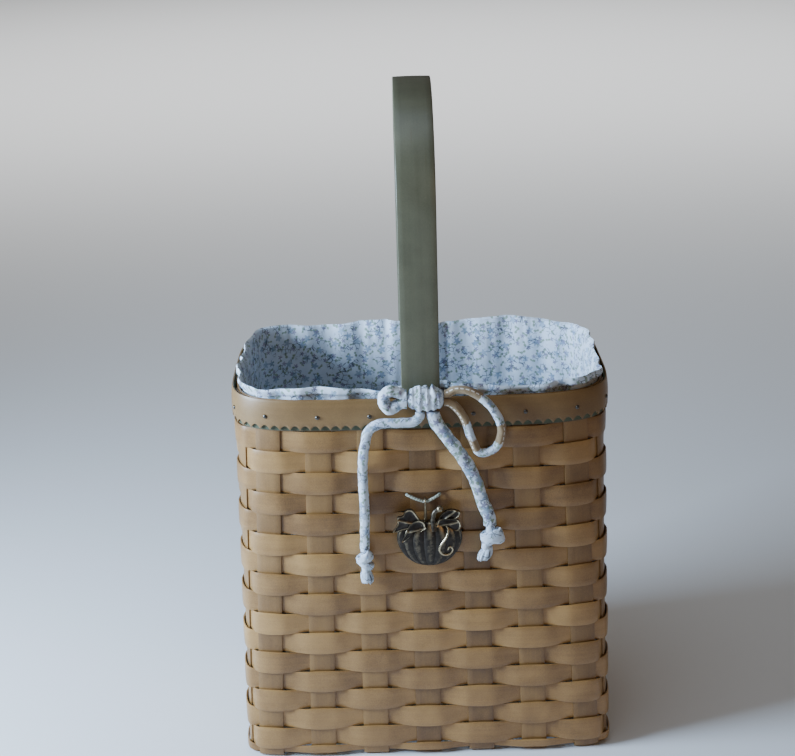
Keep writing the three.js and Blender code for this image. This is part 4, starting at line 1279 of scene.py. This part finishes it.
# %% Handle
deselect()
bpy.ops.mesh.primitive_cube_add(size=1)
strap = named("handle_strap")
subdivide_along(strap, 2, rings - 2)
subdivide_along(strap, 0, 5)
spots = coordinates(strap)
ring_of = np.rint((spots[:, 2] + 0.5) * (rings - 1)).astype(int)
dome = DOME * (1 - (2 * spots[:, 0]) ** 2)
lines = np.where((spots[:, 1] < 0)[:, None], outer[ring_of], inner[ring_of])
middle = (outer[ring_of] + inner[ring_of]) / 2
away = lines - middle
lines = lines + away / np.linalg.norm(away, axis=1, keepdims=True) * (dome - DOME)[:, None]
place(strap, np.stack([spots[:, 0] * STRAP_WIDTH, lines[:, 0], lines[:, 1]], axis=1) * MM)
face_outwards(strap)
soften(strap, 1.1, segments=3, degrees=60)
apply_modifiers(strap)
settle(strap)
# The handle's colours are darker than its stain alone: the extra darkening is painted shade.
ash_stain_and_painted_shade = splint("ash_handle_stain_and_painted_shade", (1.0, 0.03, 0.03), pale="#6c6a54", deep="#504f3d",
                     roughness=0.33)
belongs(strap, ["handle"], "handle", ash_stain_and_painted_shade, tone=0.5)
print("handle", len(strap.data.polygons), "faces")

# %% [markdown]
# Tacks
#
# A small blued steel tack with a domed head sits on the band over every upright. A sphere is cut in
# half with Bisect and flattened to 3.6 by 1.3 mm. The copies are turned to face out of the wall. The
# CAD model has the tacks of the front and back, and the ones on the sides are added here.

# %% Steel
def steel():
    made, tree, shader = new_look("blued_steel")
    spot = node(tree, "TexCoord").outputs["Object"]
    worn = node(tree, "TexNoise", {"Vector": spot, "Scale": 900.0, "Detail": 3.0})
    colour = node(tree, "MixRGB", {"Fac": worn, "Color1": "#3c3b3a", "Color2": "#77726b"})
    gloss = node(tree, "MapRange", {"Value": worn, "To Min": 0.2, "To Max": 0.42})
    connect(shader, {"Base Color": colour, "Roughness": gloss, "Metallic": 1.0})
    return made


tack_steel = steel()
print("steel", tack_steel.name)

# %% Tacks
deselect()
bpy.ops.mesh.primitive_uv_sphere_add(segments=24, ring_count=12, radius=1)
tack_head = named("tack_head")
with edit_mode(tack_head):
    bpy.ops.mesh.bisect(plane_co=(0, 0, 0), plane_no=(0, 0, 1), clear_inner=True, use_fill=True)
tack_shape = coordinates(tack_head) * (1.8, 1.8, 1.3) * MM
SEAT = BAND_INNER + BAND_THICK + 0.05
TACK_HEIGHT = BAND_BOTTOM + 11.7


def tack(name, length, nodes):
    piece = tack_head.copy()
    piece.data = tack_head.data.copy()
    bpy.context.scene.collection.objects.link(piece)
    piece.name = name
    foot, tip = wall(length, TACK_HEIGHT, np.array([SEAT, SEAT + 1]))
    turn = Vector(tip - foot).to_track_quat("Z", "Y").to_matrix()
    place(piece, tack_shape @ np.array(turn).T + foot)
    activate(piece)
    bpy.ops.object.shade_smooth_by_angle(angle=math.radians(50))
    belongs(piece, nodes, "tack", tack_steel)


WALLS = [("front", 7), ("right", 4), ("back", 7), ("left", 4)]
places_round = iter(np.roll(RIM_PLACES, 3))
for where, count in WALLS:
    for number in range(1, count + 1):
        in_cad = [f"tack_{where}_{number}"] if where in ("front", "back") else []
        tack(f"tack_{where}_{number}_head", next(places_round), in_cad)
bpy.data.objects.remove(tack_head)
print("tacks", UPRIGHTS)

# %% [markdown]
# The liner
#
# A loose tub of the printed cotton lines the basket. Its sides fall in soft folds, deepest at the top,
# where the edge is turned over into a rolled hem and puffs out a little above the rim. The sheet is
# one open cylinder. Its rows start at the middle of the floor, run out to the foot, climb the wall and
# turn over at the top. The folds are a sum of even pleats and of slow noise, so no two are alike. It
# also steps inwards round the two legs of the handle, as the inner band does.

# %% Liner
LINER_TOP = 349.4
FOLDS = 27
FLOOR = 3.8
COLUMNS = 540
CLOTH_THICK = 0.8
FLAT_SIZE = (0.96, 0.56)

liner_rows = [("floor", s) for s in (0.0, 0.25, 0.5, 0.75, 0.92)]
liner_rows += [("wall", s) for s in np.linspace(0, 1, 34) ** 0.9]
liner_rows += [("hem", s) for s in np.linspace(0, 1, 9)[1:]]
steps = len(liner_rows) - 1
cloth_ring, column, level = ring_blank("liner_cloth", COLUMNS, steps)
length = AROUND * column / COLUMNS
step = np.rint(level * steps).astype(int)
kind = np.array([r[0] for r in liner_rows])[step]
share = np.array([r[1] for r in liner_rows])[step]

pleat = 3.0 * (1 - np.cos(2 * np.pi * FOLDS * length / AROUND)) / 2
hem_line = LINER_TOP + 2.0 * np.sin(2 * np.pi * 8 * length / AROUND)
height = np.where(kind == "wall", FLOOR + (hem_line - FLOOR) * share, FLOOR)
over_hem = np.where(kind == "hem", share, 0)
height = np.where(kind == "hem", hem_line + 0.9 * np.sin(np.pi * np.minimum(share * 4, 1))
                  - 6.0 * np.clip(share - 0.25, 0, 1), height)
fold = np.where(height < 235, 0.3 * height / 235, 0.3 + 0.7 * np.clip((height - 235) / 114, 0, 1))
foot = np.clip(1 - (height - FLOOR) / 15, 0, 1) ** 2 * 6.0
right, back = np.cos(2 * np.pi * length / AROUND), np.sin(2 * np.pi * length / AROUND)
rumple = (roughness_at(right * 9, back * 9, height * 0.013)
          + 0.4 * roughness_at(right * 27, back * 27, height * 0.03))
puff = 2.6 * np.clip((height - 342.5) / 5, 0, 1) * (1 - beside_leg(length, 19))
inward = (4.0 + foot + pleat * fold * 0.8 + (0.5 + 1.6 * fold) * (rumple + 0.5)
          + LEG_ROOM * beside_leg(length, 18.9) * np.clip((height - 225) / 15, 0, 1) - puff
          - 1.9 * np.sin(np.pi / 2 * np.minimum(over_hem * 4, 1)))
spots = wall(length, height, -inward)
spots[:, :2] *= np.where(kind == "floor", share, 1.0)[:, None]
place(cloth_ring, spots)
print("liner rows", len(liner_rows))

# %% [markdown]
# The liner: map and thickness
#
# The print has to keep its real scale all over the cloth, so its map is laid out in metres: the floor
# as it is seen from above, and the wall by its length round the rim and its height. At the middle of
# the floor all columns meet, and Merge by Distance joins their points. The sheet's area is measured
# before Solidify gives it the thickness of a cotton lining.

# %% Map and thickness of the liner
cloth = fresh_uv(cloth_ring)
up_cloth = np.where(kind == "floor", share * 0.09, 0.09 + (height - FLOOR) * MM)
for face in cloth_ring.data.polygons:
    ids = list(face.vertices)
    seam = max(column[i] for i in ids) - min(column[i] for i in ids) > COLUMNS / 2
    for loop, i in zip(face.loop_indices, ids):
        turn_on = COLUMNS if seam and column[i] < COLUMNS / 2 else 0
        along_cloth = (column[i] + turn_on) / COLUMNS * AROUND * MM
        cloth[loop].uv = spots[i][:2] if kind[i] == "floor" else (along_cloth, up_cloth[i])
with edit_mode(cloth_ring):
    bpy.ops.mesh.remove_doubles(threshold=0.05 * MM)
face_outwards(cloth_ring)
one_side = sum(face.area for face in cloth_ring.data.polygons)
thicken(cloth_ring, CLOTH_THICK, edge=0)
belongs(cloth_ring, ["liner"], "liner", liner_cotton)
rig.sheet(cloth_ring, flat=FLAT_SIZE, held="gathered", rests_on=["inner_band_splint"],
         area=round(one_side, 4))
print("liner cloth", round(one_side, 4), "square metres")

# %% [markdown]
# The charm
#
# The charm is one small casting with a dark patina, rubbed back to warm gilt on its raised edges. Each
# part carries a number for how much of the patina has gone, and a blotchy noise breaks up the edge
# between the two. On the pumpkin's crests that number also lays on painted highlight.

# %% Bronze
def bronze():
    made, tree, shader = new_look("patinated_bronze")
    spot = node(tree, "TexCoord").outputs["Object"]
    gilt_and_highlight = node(tree, "Attribute", attribute_name="gilt_and_highlight").outputs["Fac"]
    blotch = node(tree, "TexNoise", {"Vector": spot, "Scale": 330.0, "Detail": 4.0, "Roughness": 0.65})
    # Gilt where the patina is rubbed off; on the pumpkin's crests it is also a painted highlight.
    worn = node(tree, "Math", {0: blotch, 1: 0.5, 2: gilt_and_highlight}, operation="MULTIPLY_ADD")
    worn = node(tree, "MapRange", {"Value": worn, "From Min": 0.48, "From Max": 1.1})
    patina = node(tree, "MixRGB", {"Fac": blotch, "Color1": "#221f1d", "Color2": "#49423c"})
    colour = node(tree, "MixRGB", {"Fac": worn, "Color1": patina, "Color2": "#b9a888"})
    gloss = node(tree, "MapRange", {"Value": worn, "To Min": 0.36, "To Max": 0.24})
    bump = node(tree, "Bump", {"Height": blotch, "Strength": 0.25, "Distance": 0.0003})
    connect(shader, {"Base Color": colour, "Roughness": gloss, "Metallic": 0.9, "Normal": bump})
    return made


cast_bronze = bronze()
print("bronze", cast_bronze.name)

# %% [markdown]
# The charm: pumpkin
#
# The pumpkin is 56 mm wide with 15 lobes. A sphere has the poles that it needs at its stem and its
# blossom end. It is pressed flat, so that the front bulges 9 mm and the back 3 mm, and its longitudes
# are drawn in between the lobes. The crests of the lobes are rubbed a little lighter all over, and
# narrow gilt streaks along them grow towards the top: these are rubbed wear and painted highlight.

# %% Pumpkin
CHARM_AT = np.array([4.5, -100.95, 212.75])
LOBES = 15
HALF_WIDTH = 28
HALF_HEIGHT = 23
FRONT_BULGE = 9
BACK_BULGE = 3


def mark_gilt_and_highlight(piece, amount):
    """Say how much of the patina is rubbed off to gilt, which on the pumpkin's crests is also painted highlight, and
    drop the map, which no bronze needs.
    """
    mark(piece, "gilt_and_highlight", amount)
    while piece.data.uv_layers:
        piece.data.uv_layers.remove(piece.data.uv_layers[0])
    return piece


def front_at(x, z):
    """How far the pumpkin's front stands out at a point of it."""
    up = (1 - np.sqrt(1 - 0.72 * (z / HALF_HEIGHT - 0.18))) / 0.36
    return FRONT_BULGE * np.sqrt(np.clip(1 - (x / HALF_WIDTH) ** 2 - up ** 2, 0, 1))


deselect()
bpy.ops.mesh.primitive_uv_sphere_add(segments=180, ring_count=60, radius=1)
pumpkin = named("charm_cast")
ball = coordinates(pumpkin)
turn = np.arctan2(ball[:, 0], -ball[:, 1])
crest = np.abs(np.cos(LOBES * turn / 2)) ** 0.7
lobe = 1 - 0.13 * (1 - crest)
up = ball[:, 2]
dimple = 1 - np.where(up > 0, 0.14, 0.04) * np.abs(up) ** 8
depth = np.where(ball[:, 1] < 0, FRONT_BULGE, BACK_BULGE)
ribs = 1 + 0.012 * np.sin(LOBES * 4 * turn) * np.clip(up, 0, 1)
place(pumpkin, (np.stack([ball[:, 0] * lobe * HALF_WIDTH, ball[:, 1] * lobe * ribs * depth,
                          (up + 0.18 * (1 - up ** 2)) * dimple * HALF_HEIGHT], axis=1) + CHARM_AT) * MM)
# Narrow gilt streaks along the crests, strongest towards the top: partly rubbed wear, partly painted highlight.
mark_gilt_and_highlight(pumpkin, 0.14 + 0.16 * crest ** 4 + 0.5 * np.clip((up - 0.05) / 0.5, 0, 1) * crest ** 9)
print("pumpkin with", LOBES, "lobes")

# %% [markdown]
# The charm: leaves
#
# Four leaves lie over the top of the pumpkin, cast in one with it. Each is a domed plate with a rolled
# rim and a vein from its root to its middle. A disc has rings from its rim to its middle, so its rim is
# pulled out to the leaf's outline and the rings inside give the roll and the dome.

# %% Leaves
# Each leaf's outline, as x and z beside the middle of the pumpkin, and how far it is lifted
LEAVES = [
    ([(-6, 18), (-10, 26), (-15, 32.5), (-20, 31.5), (-22, 27), (-27, 25.5), (-27, 19.5), (-31, 12),
      (-24, 14)], 0.0),
    ([(-3, 16), (-5, 21.5), (-10, 23), (-17, 18.5), (-20, 11), (-24, 3), (-17, 8.5), (-15, 13),
      (-10, 12)], 1.4),
    ([(6, 18), (9, 25), (14, 30.5), (20, 31.5), (26, 29), (23, 24), (17, 23)], 0.0),
    ([(6, 17), (8, 23), (16, 24), (25, 22), (26, 15.5), (23.5, 12.5), (18, 15), (12, 18.5)], 1.4),
]
LEAF_POINTS = 48
# From the back of a leaf to the middle of its front: the share of its outline, and how far it is out
LEAF_REACH = np.array([1.0, 1.0, 1.0, 0.98, 0.92, 0.84, 0.74, 0.62, 0.48, 0.34, 0.2, 0.08, 0.0])
LEAF_OUT = np.array([-1.6, 0.6, 1.5, 1.9, 1.6, 1.2, 1.1, 1.2, 1.4, 1.6, 1.7, 1.8, 1.8])
LEAF_RINGS = len(LEAF_OUT) - 1


def charm_leaf(name, corners, lift):
    """A disc whose rim is pulled out to the leaf's outline; its rings step down to a rolled edge."""
    outline_points, _ = curve_through([(x, 0, z) for x, z in corners + corners[:1]], LEAF_POINTS)
    edge = outline_points[:-1, [0, 2]] / MM
    root, heart = np.array(corners[0], float), edge.mean(axis=0)
    deselect()
    bpy.ops.mesh.primitive_cylinder_add(vertices=LEAF_POINTS, radius=1, depth=1, end_fill_type="TRIFAN")
    piece = named(name)
    subdivide_along(piece, 2, LEAF_RINGS - 1)
    rod = coordinates(piece)
    level = np.rint((rod[:, 2] + 0.5) * LEAF_RINGS).astype(int)
    turn = np.mod(np.arctan2(rod[:, 1], rod[:, 0]), 2 * np.pi) / (2 * np.pi)
    index = np.rint(turn * LEAF_POINTS).astype(int) % LEAF_POINTS
    out = LEAF_OUT[level]
    reach = np.where(np.hypot(rod[:, 0], rod[:, 1]) < 0.5, 0.0, LEAF_REACH[level])
    flat = heart + (edge[index] - heart) * reach[:, None]
    way = heart - root
    way = way / np.linalg.norm(way)
    beside = np.abs((flat - root) @ np.array([-way[1], way[0]]))
    vein = 0.9 * np.exp(-(beside / 0.9) ** 2) * (out > 1)
    place(piece, (np.stack([flat[:, 0], -(4.6 + lift + out + vein), flat[:, 1]], axis=1) + CHARM_AT) * MM)
    face_outwards(piece)
    rolled = np.isin(level, [2, 3, 4]).astype(float) * 0.55
    return mark_gilt_and_highlight(piece, np.clip(0.12 + rolled + vein * 0.6, 0, 1))


parts = [pumpkin]
for number, (corners, lift) in enumerate(LEAVES, 1):
    parts.append(charm_leaf(f"leaf_{number}", corners, lift))
print("leaves", len(LEAVES))

# %% [markdown]
# The charm: stem, tendril and wire
#
# The stem, the curled tendril and the neck of the wire are round and taper, so they are made as the
# tie's strands are, with no creases. The tendril lies on the pumpkin's front. A ball ends the stem, and
# a torus is the wire loop that the cord runs through. All parts are joined, because the real charm is
# one casting.

# %% Stem, tendril and wire
def charm_tube(name, points, diameter, steps, gilt_and_highlight, taper=None):
    route = [tuple(np.array(p) + CHARM_AT) for p in points]
    piece, _, _ = rolled_strand(name, diameter, steps, sides=16, ridge=0, crease=0, route=route,
                                taper=taper)
    return mark_gilt_and_highlight(piece, gilt_and_highlight)


parts.append(charm_tube("stem", [(3.8, -5, 13), (3.2, -5, 23), (4.6, -5, 29.5), (9, -5, 32.5)], 5.6, 24,
                        0.3, taper=[1.3, 1.0, 0.8, 0.72, 0.8]))
tendril = [(5.5, 18.5), (9, 20), (13.2, 18.5), (15.7, 13.8), (14, 7), (9.8, 1), (8, -4), (10.6, -8.7),
           (14.9, -9.8), (19, -6.9), (18.7, -3.5), (16.6, -2), (15, -4.9)]
tendril = [(x, -max(front_at(x, z) + 0.2, 4.6), z) for x, z in tendril]
parts.append(charm_tube("tendril", tendril, 2.0, 110, 0.85, taper=[0.6, 1, 1, 1, 1, 1, 1, 0.9, 0.75]))
parts.append(charm_tube("wire_neck", [(-3, 1, 33.9), (-3, 1, 28), (-3, 1, 22), (-3, 1, 16)], 1.9, 16, 0.6,
                        taper=[1, 1, 1.3, 1.6]))
deselect()
bpy.ops.mesh.primitive_uv_sphere_add(segments=32, ring_count=20, radius=2.9 * MM)
knob = named("stem_knob")
place(knob, coordinates(knob) + (np.array([9, -5, 32.5]) + CHARM_AT) * MM)
parts.append(mark_gilt_and_highlight(knob, 0.5))
deselect()
bpy.ops.mesh.primitive_torus_add(major_segments=48, minor_segments=14, major_radius=2.7 * MM,
                                 minor_radius=0.8 * MM)
wire = named("wire_loop")
wire_at = np.array(ROUTES["charm_cord"][3])
place(wire, coordinates(wire)[:, [2, 0, 1]] + wire_at * MM)
parts.append(mark_gilt_and_highlight(wire, 0.6))
settle(join(parts))
belongs(pumpkin, ["charm"], "bronze", cast_bronze, body="charm")
print("charm", len(pumpkin.data.polygons), "faces")

# %% [markdown]
# The charm's cord
#
# A thin cord of twisted cotton comes out of the weave on one side of the middle upright, dips through
# the wire loop and goes back in on the other side. Three plies show as a fine spiral along it: a bump,
# and painted shade that darkens the grooves between them.

# %% Cord
CORD_DIAMETER = 2.5
LAY = 2.2 * MM


def twisted_cotton():
    made, tree, shader = new_look("twisted_cotton_cord")
    uv = node(tree, "UVMap", uv_map="cloth")
    parts = node(tree, "SeparateXYZ", {"Vector": uv})
    along = node(tree, "Math", {0: parts.outputs["X"], 1: 2 * math.pi / LAY}, operation="MULTIPLY")
    turn = node(tree, "Math", {0: parts.outputs["Y"], 1: 2 / (CORD_DIAMETER * MM), 2: along},
                operation="MULTIPLY_ADD")
    ply = node(tree, "Math", {0: turn}, operation="SINE")
    fuzz = node(tree, "TexNoise", {"Vector": uv, "Scale": 900.0, "Detail": 3.0})
    tinted = node(tree, "MixRGB", {"Fac": fuzz, "Color1": "#7f8a6c", "Color2": "#dfe3d6"})
    # Painted shade: the colour is darkened in the grooves between the plies.
    shade = node(tree, "MapRange", {"Value": ply, "From Min": -1.0, "To Min": 0.55})
    colour = node(tree, "MixRGB", {"Fac": 1.0, "Color1": tinted, "Color2": shade}, blend_type="MULTIPLY")
    bump = node(tree, "Bump", {"Height": ply, "Strength": 0.6, "Distance": 0.0002})
    connect(shader, {"Base Color": colour, "Roughness": 0.85, "Normal": bump})
    return made


cord_piece, line, length = rolled_strand("charm_cord", CORD_DIAMETER, 60, sides=14, ridge=0, crease=0.05)
belongs(cord_piece, ["charm_cord"], "cord", twisted_cotton())
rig.cord(cord_piece, exit=tuple(line[0]), length=length, diameter=CORD_DIAMETER * MM, far_end="object",
        stiffness="limp", lay="hanging", path=[tuple(p) for p in line], with_pieces=[pumpkin])
print("charm cord", round(length * 1000), "mm long")

# %% [markdown] The sizes before and after  The box round the CAD model was kept when it was loaded.
# It is written out beside the box round what is shown now, so that the two can be compared.

# %% Finish
shown_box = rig.bounds()
sizes = {
    "cad": [list(map(float, corner)) for corner in cad_box],
    "visual": [list(map(float, corner)) for corner in shown_box],
}
with open("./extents.json", "w") as report:
    json.dump(sizes, report)
print("visual box", sizes["visual"])
